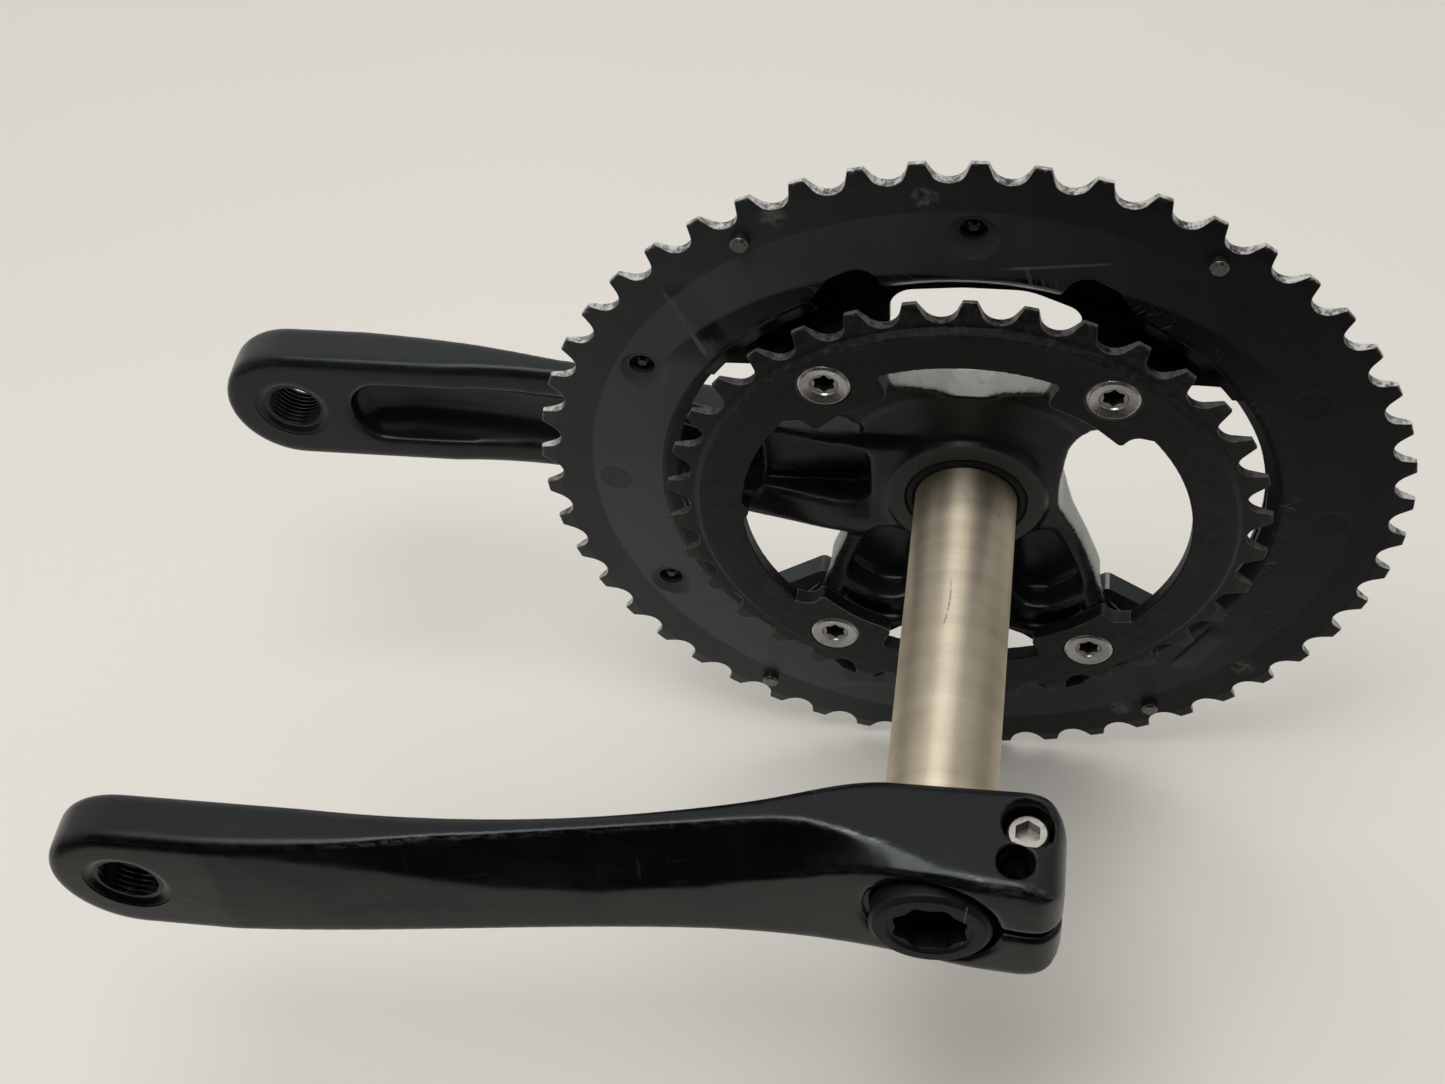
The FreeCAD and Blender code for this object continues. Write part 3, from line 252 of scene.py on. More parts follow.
def arm_finish():
    """Glossy black anodised forging: worn marks its rubbed creases, machined its bare cut walls."""
    s = Shader("black_arm_finish")
    broad = s.noise(0.03, detail=4.0)
    fine = s.noise(1.6, detail=3.0, offset=4.0)
    streak = s.noise((0.02, 0.5, 0.5), detail=3.0, offset=9.0)
    worn = s.attribute("worn")
    machined = s.attribute("machined")
    chips = s.span(s.noise((0.25, 0.7, 0.7), detail=8.0, offset=2.0, roughness=0.75), 0.42, 0.60)
    rubbed = s.math("MULTIPLY", worn, chips)
    dust = s.span(s.noise(0.8, detail=7.0, offset=21.0, roughness=0.78), 0.66, 0.8, 0.0, 0.3)
    handled = s.span(s.noise((0.06, 0.12, 0.12), detail=5.0, offset=33.0, roughness=0.6), 0.5, 0.72)
    scratch = s.scratches((8.0, 97.0), along=0.09, across=1.3, cover=0.67, seed=3.0)
    scratch = s.math("MULTIPLY", scratch, 0.3)
    radius = s.radius()
    drive_side = s.span(s.y, 44.0, 44.8)
    blasted = s.all_of(drive_side, s.span(s.y, 46.4, 47.2, 1.0, 0.0), s.span(radius, 14.0, 14.6),
                       s.span(radius, 18.4, 18.9, 1.0, 0.0))
    marks = s.all_of(drive_side, s.span(s.y, 56.5, 57.5, 1.0, 0.0), s.disc(-39.0, 0.6, 2.7))
    grit = s.noise(2.4, detail=3.0, offset=50.0, roughness=0.7)
    colour = s.mix(broad, (0.0011, 0.0012, 0.0013), (0.0024, 0.0026, 0.0027))
    colour = s.mix(drive_side, colour, (0.0075, 0.0092, 0.0092))
    colour = s.mix(dust, colour, (0.010, 0.010, 0.010))
    grain = s.math("MULTIPLY", blasted, s.span(grit, 0.35, 0.7, 0.35, 1.0))
    colour = s.mix(grain, colour, (0.062, 0.064, 0.058))
    colour = s.mix(s.math("MULTIPLY", marks, 0.8), colour, (0.016, 0.016, 0.017))
    colour = s.mix(scratch, colour, (0.04, 0.04, 0.04))
    cut = s.math("MULTIPLY", machined, s.span(s.noise(0.3, detail=5.0, offset=61.0), 0.25, 0.5, 0.75, 1.0))
    colour = s.mix(cut, colour, (0.62, 0.61, 0.58))
    colour = s.mix(rubbed, colour, (0.13, 0.128, 0.122))
    gloss = s.span(s.math("ADD", s.math("MULTIPLY", broad, 0.6), s.math("MULTIPLY", streak, 0.4)),
                   0.35, 0.65, 0.23, 0.31)
    gloss = s.math("ADD", gloss, s.math("MULTIPLY", dust, 0.25))
    gloss = s.math("ADD", gloss, s.math("MULTIPLY", handled, 0.10))
    gloss = s.math("MAXIMUM", gloss, s.math("MULTIPLY", blasted, 0.6))
    gloss = s.math("MAXIMUM", gloss, s.math("MULTIPLY", cut, 0.42))
    s.bump(fine, 0.06, 0.05)
    s.bump(s.math("MULTIPLY", grit, blasted), 0.5, 0.15)
    metal = s.math("MAXIMUM", s.math("MULTIPLY", rubbed, 0.6), s.math("MULTIPLY", cut, 0.8))
    # Painted shade: in the drive-side arm's long trough the roughness is raised and the specular level cut,
    # so the trough stays dark as if its walls shaded it.
    inner_face = s.math("MINIMUM", s.math("ADD", s.math("MULTIPLY", s.x, -0.257), 37.0), 62.5)
    depth = s.span(s.math("SUBTRACT", s.y, inner_face), 0.6, 3.0)
    hollow = s.all_of(depth, drive_side, s.span(s.z, -11.0, -9.4), s.span(s.z, -6.0, -3.0, 1.0, 0.0),
                      s.span(s.x, -156.0, -155.0), s.span(s.x, -24.0, -22.0, 1.0, 0.0))
    gloss = s.math("MAXIMUM", gloss, s.math("MULTIPLY", hollow, 0.42))
    return s.finish(colour, metal, gloss, Specular_Tint=COOL,
                    Specular_IOR_Level=s.span(hollow, 0.0, 1.0, 0.24, 0.08))


# Marks on the large ring: the turns of its round ones, which lie on one circle, then the ends of
# the carrier's stamped ridges and the places of its milled spots, as (x, z).
DISC_CIRCLE = 84.0
DISC_TURNS = [27.0, -1.0, -28.4, 179.5]
STAMPED_RIDGES = [((-67.0, 64.0), (-58.0, 45.0)), ((62.0, -42.0), (53.0, -60.0)),
                  ((32.0, 77.0), (5.0, 74.5)), ((-33.0, -78.0), (-18.0, -75.5))]
MILLED_MARKS = [(-42.0, 86.0), (-10.0, 93.0), (42.0, -81.0), (71.0, -60.0)]


def ring_plate(s, seed):
    """Noise fields shared by both rings."""
    broad = s.noise(0.045, detail=5.0, roughness=0.62, offset=seed)
    mottled = s.noise(0.5, detail=6.0, roughness=0.72, offset=seed + 13.0)
    fine = s.noise(2.2, detail=2.0, offset=seed + 5.0)
    return broad, mottled, fine


def bare_teeth(s, tip_radius, root_radius, mottled):
    """Where the chain has rubbed the finish off: flanks, roots and tips, unevenly."""
    edge_noise = s.noise(0.9, detail=6.0, roughness=0.75, offset=17.0)
    reach = s.math("ADD", s.radius(), s.math("MULTIPLY", s.math("SUBTRACT", edge_noise, 0.5), 6.0))
    flank = s.math("MULTIPLY", s.side_facing(), s.span(reach, root_radius - 0.6, root_radius + 0.8))
    tip = s.span(reach, tip_radius - 0.6, tip_radius + 0.6)
    rim = s.math("MULTIPLY", s.edge(0.35), s.span(reach, root_radius - 1.5, root_radius + 1.5))
    bare = s.union([s.math("MULTIPLY", flank, 0.8), s.math("MULTIPLY", tip, 0.6),
                    s.math("MULTIPLY", rim, 0.7)])
    return s.math("MULTIPLY", bare, s.span(mottled, 0.36, 0.58, 0.15, 1.0))


def large_ring_finish():
    """Black anodised ring with a matt carrier that has painted light on its left, painted shade and a
    smoother finish round the top window, and bare tooth edges.
    """
    s = Shader("black_ring_finish")
    radius = s.radius()
    broad, mottled, fine = ring_plate(s, 0.0)
    bare = bare_teeth(s, 102.2, 97.2, mottled)
    # Painted light: the carrier is painted lighter towards the left (-x) and slightly towards the bottom, as
    # if lit from that side, with random clouding on top.
    painted_light_left = s.math("ADD", s.math("MULTIPLY", s.x, -1.0), s.math("MULTIPLY", s.z, -0.15))
    clouding = s.math("MULTIPLY", s.math("SUBTRACT", broad, 0.5), 90.0)
    light_and_cloud_tone = s.span(s.math("ADD", painted_light_left, clouding), -105.0, 95.0)
    colour = s.mix(light_and_cloud_tone, (0.0040, 0.0056, 0.0058), (0.046, 0.052, 0.050))
    toothed = s.span(radius, 89.2, 90.0)
    colour = s.mix(s.math("MULTIPLY", toothed, 0.6), colour, (0.0036, 0.0046, 0.0042))
    # Painted shade: round the top window the carrier is painted darker, standing in for the shade of the
    # recess there; this band is also made smoother.
    band_reach = s.math("ADD", radius, s.math("MULTIPLY", s.math("ABSOLUTE", s.x), -0.12))
    smooth_shaded_band = s.all_of(s.span(s.z, 40.0, 46.0), s.span(band_reach, 72.0, 72.8, 1.0, 0.0))
    colour = s.mix(s.math("MULTIPLY", smooth_shaded_band, 0.9), colour, (0.0014, 0.0014, 0.0014))
    places = [(DISC_CIRCLE * math.cos(turn), DISC_CIRCLE * math.sin(turn))
              for turn in map(math.radians, DISC_TURNS)]
    discs = s.union([s.disc(x, z, 4.0, 0.15) for x, z in places])
    colour = s.mix(s.math("MULTIPLY", discs, 0.5), colour, (0.003, 0.003, 0.003))
    milled = s.union([s.disc(x, z, 2.6, 1.2) for x, z in MILLED_MARKS])
    colour = s.mix(s.all_of(milled, s.span(mottled, 0.42, 0.6)), colour, (0.09, 0.088, 0.083))
    grime = s.math("MULTIPLY", s.span(mottled, 0.56, 0.8, 0.0, 0.4), s.span(radius, 92.0, 97.0))
    colour = s.mix(grime, colour, (0.040, 0.037, 0.032))
    scuffs = s.union([s.strokes(0.5, 0.64, 2.0), s.strokes(-0.6, 0.65, 14.0), s.strokes(1.6, 0.66, 23.0)])
    scuffs = s.all_of(scuffs, s.span(radius, 88.0, 90.0, 1.0, 0.2), s.span(s.y, 44.8, 45.1, 1.0, 0.0), 0.6)
    colour = s.mix(scuffs, colour, (0.11, 0.112, 0.11))
    # Partly real nicks and partly a painted highlight: sharp edges from the carrier's inner rim outwards are
    # painted lighter in patches.
    nicks_and_edge_highlight = s.math("MULTIPLY", s.edge(0.5), s.span(s.noise(0.35, detail=6.0, offset=71.0), 0.46, 0.62))
    nicks_and_edge_highlight = s.math("MULTIPLY", nicks_and_edge_highlight, s.span(radius, 66.0, 68.0, 0.0, 0.35))
    colour = s.mix(nicks_and_edge_highlight, colour, (0.10, 0.10, 0.098))
    nx, ny, nz = s.wall()
    inward = s.math("ADD", s.math("MULTIPLY", s.x, nx), s.math("MULTIPLY", s.z, nz))
    machined = s.all_of(s.span(s.math("DIVIDE", inward, radius), -0.45, -0.25, 1.0, 0.0),
                        s.span(s.math("ABSOLUTE", ny), 0.3, 0.5, 1.0, 0.0),
                        s.span(radius, 62.0, 64.0, 1.0, 0.0), s.span(s.z, 20.0, 30.0, 1.0, 0.0))
    colour = s.mix(machined, colour, (0.20, 0.196, 0.19))
    colour = s.mix(bare, colour, (0.60, 0.59, 0.56))
    rough = s.span(s.math("ADD", s.math("MULTIPLY", broad, 0.5), s.math("MULTIPLY", mottled, 0.5)),
                   0.3, 0.7, 0.42, 0.58)
    rough = s.blend(smooth_shaded_band, rough, 0.27)
    rough = s.blend(s.math("MAXIMUM", bare, machined), rough, 0.32)
    s.bump(fine, 0.10, 0.05)
    s.bump(discs, 0.6, -0.25)
    s.bump(s.union([s.crease(start, end, 1.2, 7.0) for start, end in STAMPED_RIDGES]), 1.0, 0.9)
    metal = s.math("MAXIMUM", s.math("MULTIPLY", bare, 0.55), s.math("MULTIPLY", machined, 0.8))
    # Painted sheen: the specular level rises towards the left in the same way.
    painted_sheen_left = s.span(painted_light_left, -75.0, 60.0, 0.14, 0.34)
    return s.finish(colour, metal, rough, Specular_Tint=COOL, Specular_IOR_Level=painted_sheen_left)


def small_ring_finish():
    """Black ring, grimy at the tooth roots, with a thin rubbed line along its inner edges."""
    s = Shader("small_ring_finish")
    radius = s.radius()
    broad, mottled, fine = ring_plate(s, 80.0)
    bare = bare_teeth(s, 70.6, 64.9, mottled)
    colour = s.mix(s.span(broad, 0.35, 0.7), (0.0022, 0.0023, 0.0024), (0.0058, 0.0059, 0.0058))
    grime = s.math("MULTIPLY", s.span(mottled, 0.42, 0.72), s.span(radius, 59.5, 63.5))
    colour = s.mix(s.math("MULTIPLY", grime, 0.75), colour, (0.030, 0.027, 0.022))
    specks = s.span(s.noise(1.3, detail=3.0, offset=91.0), 0.70, 0.74)
    colour = s.mix(s.math("MULTIPLY", specks, 0.6), colour, (0.09, 0.09, 0.088))
    rim = s.math("MULTIPLY", s.edge(0.3), s.span(s.noise(0.06, detail=3.0, offset=95.0), 0.40, 0.62))
    rim = s.math("MULTIPLY", rim, s.span(radius, 63.5, 66.0, 0.8, 0.3))
    colour = s.mix(rim, colour, (0.38, 0.37, 0.35))
    colour = s.mix(bare, colour, (0.22, 0.21, 0.195))
    rough = s.span(mottled, 0.3, 0.7, 0.42, 0.6)
    rough = s.blend(bare, rough, 0.34)
    s.bump(fine, 0.10, 0.05)
    s.bump(s.math("MULTIPLY", grime, mottled), 0.4, 0.15)
    return s.finish(colour, s.math("MULTIPLY", s.math("MAXIMUM", bare, rim), 0.8), rough,
                    Specular_Tint=COOL, Specular_IOR_Level=0.24)


def spindle_finish():
    """Plated steel tube with faint turning bands, handling stains and one hooked scratch."""
    s = Shader("spindle_steel")
    bands = s.noise((0.015, 0.16, 0.015), detail=5.0, roughness=0.6)
    fine = s.noise((0.05, 6.0, 0.05), detail=2.0, offset=8.0)
    stain = s.noise((0.10, 0.05, 0.10), detail=6.0, roughness=0.65, offset=3.0)
    foot = s.span(s.math("ADD", s.y, s.math("MULTIPLY", stain, 16.0)), 38.0, 50.0)
    spots = s.span(s.noise(0.7, detail=2.0, offset=40.0), 0.75, 0.80)
    bow = s.math("MULTIPLY", s.math("POWER", s.math("ADD", s.y, -8.0), 2.0), 0.012)
    offset = s.math("ABSOLUTE", s.math("ADD", s.math("ADD", s.x, bow), 1.2))
    hook = s.all_of(s.span(offset, 0.12, 0.3, 1.0, 0.0), s.span(s.y, -4.0, 0.0),
                    s.span(s.y, 8.0, 14.0, 1.0, 0.0),
                    s.span(s.noise(1.5, detail=3.0, offset=44.0), 0.38, 0.5))
    colour = s.mix(s.span(bands, 0.3, 0.7), (0.48, 0.42, 0.318), (0.59, 0.525, 0.408))
    colour = s.mix(s.span(stain, 0.5, 0.75, 0.0, 0.35), colour, (0.36, 0.31, 0.24))
    colour = s.mix(s.math("MULTIPLY", foot, 0.7), colour, (0.20, 0.165, 0.12))
    colour = s.mix(s.math("MULTIPLY", spots, 0.6), colour, (0.12, 0.10, 0.075))
    colour = s.mix(s.math("MULTIPLY", hook, 0.6), colour, (0.10, 0.085, 0.065))
    rough = s.span(s.math("ADD", s.math("MULTIPLY", bands, 0.4), s.math("MULTIPLY", stain, 0.6)),
                   0.3, 0.7, 0.50, 0.58)
    s.bump(fine, 0.06, 0.02)
    tangent = s.add("ShaderNodeTangent", direction_type="RADIAL", axis="Y")
    s.feed(s.surface.inputs["Tangent"], tangent.outputs[0])
    return s.finish(colour, 1.0, rough, Anisotropic=0.65, Anisotropic_Rotation=0.25)


def bright_steel(name, low, high, grime, shaded_places=None):
    """Plated fastener: fine turned grain, a little dirt, and painted shade on sockets and shanks."""
    s = Shader(name)
    cloud = s.noise(0.5, detail=5.0, roughness=0.65)
    grain = s.noise((3.0, 3.0, 3.0), detail=3.0, offset=6.0)
    dirt = s.span(s.noise(0.9, detail=5.0, roughness=0.7, offset=19.0), 0.52, 0.75, 0.0, grime)
    colour = s.mix(cloud, low, high)
    colour = s.mix(dirt, colour, (0.05, 0.045, 0.04))
    rough = s.span(grain, 0.3, 0.7, 0.24, 0.4)
    s.bump(grain, 0.15, 0.03)
    metal = s.blend(dirt, 1.0, 0.4)
    if shaded_places:
        dark = shaded_places(s)
        # Painted shade: these places are painted near black and made less metallic.
        colour = s.mix(s.math("MULTIPLY", dark, 0.93), colour, (0.012, 0.009, 0.007))
        metal = s.math("MULTIPLY", metal, s.math("SUBTRACT", 1.0, s.math("MULTIPLY", dark, 0.7)))
    return s.finish(colour, metal, rough)


# Painted shade: the ring bolt is painted near black past its head's face, in its socket.
def ring_bolt_socket_shade(s):
    return s.span(s.y, 37.7, 38.5)


def clamp_bolt_shade(s):
    """Walls of the hexagon socket, and the shank inside its dark hole."""
    depth = s.math("ABSOLUTE", s.z)
    upright = s.span(s.math("ABSOLUTE", s.wall()[2]), 0.3, 0.6, 1.0, 0.0)
    walls = s.all_of(upright, s.span(depth, 12.9, 13.2, 1.0, 0.0), s.span(depth, 10.3, 10.6))
    return s.math("MAXIMUM", s.math("MULTIPLY", walls, 0.85), s.span(depth, 8.6, 9.0, 1.0, 0.0))


def dark_plastic(name, low, high, rough_low, rough_high, mark=None):
    """Moulded resin: mottled sheen, fine grain and pale rub marks."""
    s = Shader(name)
    cloud = s.noise(0.25, detail=5.0, roughness=0.6)
    grain = s.noise(3.0, detail=3.0, offset=6.0)
    rub = s.span(s.noise(1.2, detail=6.0, roughness=0.75, offset=27.0), 0.6, 0.75, 0.0, 0.4)
    colour = s.mix(cloud, low, high)
    colour = s.mix(rub, colour, tuple(3.0 * value for value in high))
    if mark:
        colour = s.mix(mark(s), colour, (0.14, 0.15, 0.145))
    rough = s.span(grain, 0.3, 0.7, rough_low, rough_high)
    s.bump(grain, 0.2, 0.05)
    return s.finish(colour, 0.0, rough, Specular_IOR_Level=0.22)


def cap_hairline(s):
    """Thin hooked scratch across the preload cap's rim."""
    bow = s.math("MULTIPLY", s.math("POWER", s.math("ADD", s.z, 5.0), 2.0), 0.0035)
    offset = s.math("ABSOLUTE", s.math("SUBTRACT", s.x, s.math("ADD", bow, 6.6)))
    return s.all_of(s.span(offset, 0.08, 0.2, 1.0, 0.0), s.span(s.z, -5.5, -4.5),
                    s.span(s.z, 10.8, 11.6, 1.0, 0.0), s.span(s.y, -70.2, -69.8, 1.0, 0.0), 0.8)


ARM = arm_finish()
LARGE_RING = large_ring_finish()
SMALL_RING = small_ring_finish()
SPINDLE = spindle_finish()
SILVER = bright_steel("silver_bolt", (0.30, 0.285, 0.25), (0.46, 0.44, 0.395), 0.4, clamp_bolt_shade)
RING_BOLT = bright_steel("ring_bolt_steel", (0.34, 0.335, 0.32), (0.46, 0.45, 0.43), 0.35,
                         ring_bolt_socket_shade)
PIN = bright_steel("pin_steel", (0.13, 0.125, 0.12), (0.22, 0.21, 0.20), 0.6)
DARK_PIN = bright_steel("blackened_pin", (0.03, 0.03, 0.03), (0.08, 0.08, 0.078), 0.5)
CAP = dark_plastic("cap_resin", (0.004, 0.0046, 0.0044), (0.008, 0.0092, 0.0086), 0.42, 0.55, cap_hairline)
PLATE = dark_plastic("plate_resin", (0.003, 0.003, 0.003), (0.007, 0.007, 0.007), 0.4, 0.55)
RUBBER = dark_plastic("seal_rubber", (0.003, 0.003, 0.003), (0.008, 0.008, 0.008), 0.5, 0.7)

# Material of each node, by the start of its name.
FINISHES = {
    "right_crank_arm": ARM, "left_crank_arm": ARM, "spindle_seal": RUBBER, "spindle": SPINDLE,
    "drive_side_plug": CAP, "large_chainring": LARGE_RING, "small_chainring": SMALL_RING,
    "chainring_bolt": RING_BOLT, "clamp_bolt": SILVER, "shift_pin": PIN, "carrier_rivet": DARK_PIN,
    "chain_drop_pin": PIN, "preload_cap": CAP, "stopper_plate": PLATE,
}
for name, item in nodes.items():
    finish = next(material for start, material in FINISHES.items() if name.startswith(start))
    item.data.materials.clear()
    item.data.materials.append(finish)


# ------------------------------------------------------------------ forged arms, as dense soft meshes
PEDAL_X = -170.0
PEDAL_THREAD_RADIUS = 7.144
THREAD_PITCH = 25.4 / 20


def turned_mesh(profile, place, turn=None, steps=120):
    """Closed mesh in millimetres, turned from (radius, height) pairs that start and end on the axis."""
    mesh = bmesh.new()
    rings = []
    for radius, height in profile:
        if radius == 0:
            rings.append([mesh.verts.new((0, 0, height))])
        else:
            angles = [2 * math.pi * index / steps for index in range(steps)]
            rings.append([mesh.verts.new((radius * math.cos(angle), radius * math.sin(angle), height))
                          for angle in angles])
    for lower, upper in zip(rings, rings[1:]):
        for index in range(steps):
            following = (index + 1) % steps
            corners = [lower[index % len(lower)], lower[following % len(lower)],
                       upper[following % len(upper)], upper[index % len(upper)]]
            mesh.faces.new(list(dict.fromkeys(corners)))
    bmesh.ops.recalc_face_normals(mesh, faces=mesh.faces)
    bmesh.ops.transform(mesh, matrix=Matrix.Translation(place) @ (turn or Matrix()), verts=mesh.verts)
    return mesh


def as_object(name, meshes):
    """Joins millimetre meshes into one object in metres."""
    joined = bmesh.new()
    for part in meshes:
        data = bpy.data.meshes.new("part")
        part.to_mesh(data)
        part.free()
        joined.from_mesh(data)
        bpy.data.meshes.remove(data)
    bmesh.ops.scale(joined, vec=(MM, MM, MM), verts=joined.verts)
    data = bpy.data.meshes.new(name)
    joined.to_mesh(data)
    joined.free()
    item = bpy.data.objects.new(name, data)
    scene.collection.objects.link(item)
    return item


def apply_modifiers(item):
    graph = bpy.context.evaluated_depsgraph_get()
    data = bpy.data.meshes.new_from_object(item.evaluated_get(graph))
    item.modifiers.clear()
    item.data = data


def coordinates(data):
    points = np.empty(len(data.vertices) * 3)
    data.vertices.foreach_get("co", points)
    return points.reshape(-1, 3)


def soften(data, rounds, keep_sharp=None):
    """Relaxes every point towards its neighbours; returns how far each was drawn inwards, in mm."""
    before = coordinates(data)
    edges = np.empty(len(data.edges) * 2, dtype=np.int64)
    data.edges.foreach_get("vertices", edges)
    a, b = edges.reshape(-1, 2).T
    count = np.bincount(np.concatenate([a, b]), minlength=len(before)).astype(float)
    rate = np.full(len(before), 0.5) if keep_sharp is None else 0.5 * keep_sharp(before / MM)
    points = before.copy()
    for _ in range(rounds):
        total = np.empty_like(points)
        for axis in range(3):
            total[:, axis] = (np.bincount(a, points[b, axis], minlength=len(points))
                              + np.bincount(b, points[a, axis], minlength=len(points)))
        points += rate[:, None] * (total / count[:, None] - points)
    data.vertices.foreach_set("co", points.ravel())
    data.update()
    normals = np.empty(len(points) * 3)
    data.vertices.foreach_get("normal", normals)
    return ((before - points) * normals.reshape(-1, 3)).sum(axis=1) / MM


def mark_machined(data):
    """Marks the spider's window walls, which are cut bare after the forging is blackened."""
    points = coordinates(data) / MM
    normals = np.empty(len(points) * 3)
    data.vertices.foreach_get("normal", normals)
    nx, ny, nz = normals.reshape(-1, 3).T
    x, y, z = points.T
    upright = (np.abs(ny) < 0.45) & (y > 44.0)
    right_window = (x > 20.0) & (x < 44.0) & (np.abs(z) < 46.0) & (nx > 0.25)
    left_window = (x < -20.0) & (x > -44.0) & (z < -18.2) & (nx < -0.25)
    top_window = (z > 30.0) & (np.abs(x) < 20.0) & (nz > 0.3)
    bare = upright * np.maximum(0.45 * (right_window | left_window), 0.4 * top_window)
    layer = data.attributes.new("machined", "FLOAT", "POINT")
    layer.data.foreach_set("value", bare.astype(np.float32))


def cut_away(item, cutters, solver):
    """Takes the cutters' millimetre meshes away from an object."""
    cutter = as_object("cutter", cutters)
    boolean = item.modifiers.new("cut", "BOOLEAN")
    boolean.operation = "DIFFERENCE"
    boolean.solver = solver
    boolean.object = cutter
    apply_modifiers(item)
    bpy.data.objects.remove(cutter)


def forged(name, plugs, hollows, cutters, extra, voxel, rounds, wear, keep_sharp=None):
    """Dense soft copy of a CAD arm: holes plugged, hollows deepened, remeshed, relaxed, bores cut again."""
    source = nodes[name]
    item = bpy.data.objects.new("soft_" + name, source.data.copy())
    scene.collection.objects.link(item)
    plug = as_object("plug", plugs)
    joined = bmesh.new()
    joined.from_mesh(item.data)
    bmesh.ops.remove_doubles(joined, verts=joined.verts, dist=1e-6)
    joined.from_mesh(plug.data)
    joined.to_mesh(item.data)
    joined.free()
    bpy.data.objects.remove(plug)
    if hollows:
        cut_away(item, hollows, "EXACT")
    remesh = item.modifiers.new("remesh", "REMESH")
    remesh.mode = "VOXEL"
    remesh.voxel_size = voxel * MM
    apply_modifiers(item)
    rubbed = soften(item.data, rounds, keep_sharp)
    layer = item.data.attributes.new("worn", "FLOAT", "POINT")
    layer.data.foreach_set("value", np.clip(rubbed * wear, 0.0, 1.0).astype(np.float32))
    cut_away(item, cutters, "MANIFOLD")
    if extra:
        addition = as_object("addition", extra)
        whole = bmesh.new()
        whole.from_mesh(item.data)
        whole.from_mesh(addition.data)
        whole.to_mesh(item.data)
        whole.free()
        bpy.data.objects.remove(addition)
    for polygon in item.data.polygons:
        polygon.use_smooth = True
    item.data.set_sharp_from_angle(angle=math.radians(38))
    item.data.materials.clear()
    item.data.materials.append(ARM)
    mark_machined(item.data)
    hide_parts(name)
    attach(item, "crank")
    return item


ALONG_Y = Matrix.Rotation(-math.pi / 2, 4, "X")
HUB_AXIS = Vector((0, 0, 0))
PEDAL_AXIS = Vector((PEDAL_X, 0, 0))


def bore(axis, profile, side):
    """Cutter or plug about an axis parallel to the spindle; profile is (radius, distance from mid plane)."""
    ends = [(0, profile[0][1])] + list(profile) + [(0, profile[-1][1])]
    return turned_mesh([(radius, side * distance) for radius, distance in ends], axis, ALONG_Y)


def pedal_thread(near, far, side, hand):
    """Sleeve with a helical ridge on its inner side; hand is 1 for a right-hand thread."""
    columns = 72
    per_pitch = 8
    rows = int((far - near) / THREAD_PITCH * per_pitch)
    depth = 0.62
    mesh = bmesh.new()
    inner = []
    for row in range(rows + 1):
        distance = near + row * THREAD_PITCH / per_pitch
        line = []
        for column in range(columns):
            around = column / columns
            phase = (row / per_pitch - hand * side * around) % 1.0
            ridge = min(1.0, 2.6 * (0.5 - abs(phase - 0.5)))
            radius = PEDAL_THREAD_RADIUS - depth * ridge
            angle = 2 * math.pi * around
            line.append(mesh.verts.new((PEDAL_X + radius * math.cos(angle), side * distance,
                                        radius * math.sin(angle))))
        inner.append(line)
    sleeve = PEDAL_THREAD_RADIUS + 0.5
    outer = []
    for distance in (near, near + rows * THREAD_PITCH / per_pitch):
        outer.append([mesh.verts.new((PEDAL_X + sleeve * math.cos(2 * math.pi * column / columns),
                                      side * distance, sleeve * math.sin(2 * math.pi * column / columns)))
                      for column in range(columns)])
    loops = [outer[0]] + inner + [outer[1], outer[0]]
    for lower, upper in zip(loops, loops[1:]):
        for column in range(columns):
            following = (column + 1) % columns
            mesh.faces.new([lower[column], lower[following], upper[following], upper[column]])
    bmesh.ops.recalc_face_normals(mesh, faces=mesh.faces)
    return mesh


def pedal_bore(inner_face, outer_face, side):
    """Pedal hole with a shallow spot face and a countersink at one end and a broken edge at the other."""
    hole = PEDAL_THREAD_RADIUS + 0.12
    broken = hole + 0.4
    if side < 0:
        profile = [(broken, inner_face - 3), (broken, inner_face), (hole, inner_face + 0.4),
                   (hole, outer_face - 1.2), (8.4, outer_face - 0.25), (9.7, outer_face - 0.2),
                   (9.7, outer_face + 3)]
    else:
        profile = [(9.7, inner_face - 3), (9.7, inner_face + 0.2), (8.4, inner_face + 0.25),
                   (hole, inner_face + 1.2), (hole, outer_face - 0.4), (broken, outer_face),
                   (broken, outer_face + 3)]
    return bore(PEDAL_AXIS, profile, side)


# Crest of the left arm's long facet, where hands and shoes rub: (x, y) on the upper side, with the
# amount of bare metal there.
CREST = [(-137, -74.9, 0.0), (-124, -72.8, 0.2), (-116, -70.9, 0.5), (-104, -68.6, 0.6), (-92, -67.0, 0.5),
         (-76, -64.5, 0.35), (-63, -62.7, 0.25), (-47, -59.6, 0.2), (-33, -56.8, 0.15), (-27, -56.9, 0.25),
         (-18, -58.5, 0.6), (-8, -60.8, 1.0), (2, -64.3, 0.9), (12, -68.6, 0.4)]


def rub_crest(data):
    """Adds the rubbed line along the left arm's crest to the worn attribute."""
    points = coordinates(data) / MM
    crest = np.array(CREST, dtype=float)
    y = np.interp(points[:, 0], crest[:, 0], crest[:, 1])
    amount = np.interp(points[:, 0], crest[:, 0], crest[:, 2])
    offset = np.abs(points[:, 1] - y + 0.3)
    reach = np.exp(-(offset / 0.8) ** 2) * amount * (points[:, 2] > 4.0)
    layer = data.attributes["worn"].data
    values = np.empty(len(points), dtype=np.float32)
    layer.foreach_get("value", values)
    reach *= np.clip(values * 8.0, 0.0, 1.0)
    values = np.clip(0.3 * values + reach, 0.0, 1.0).astype(np.float32)
    layer.foreach_set("value", values)


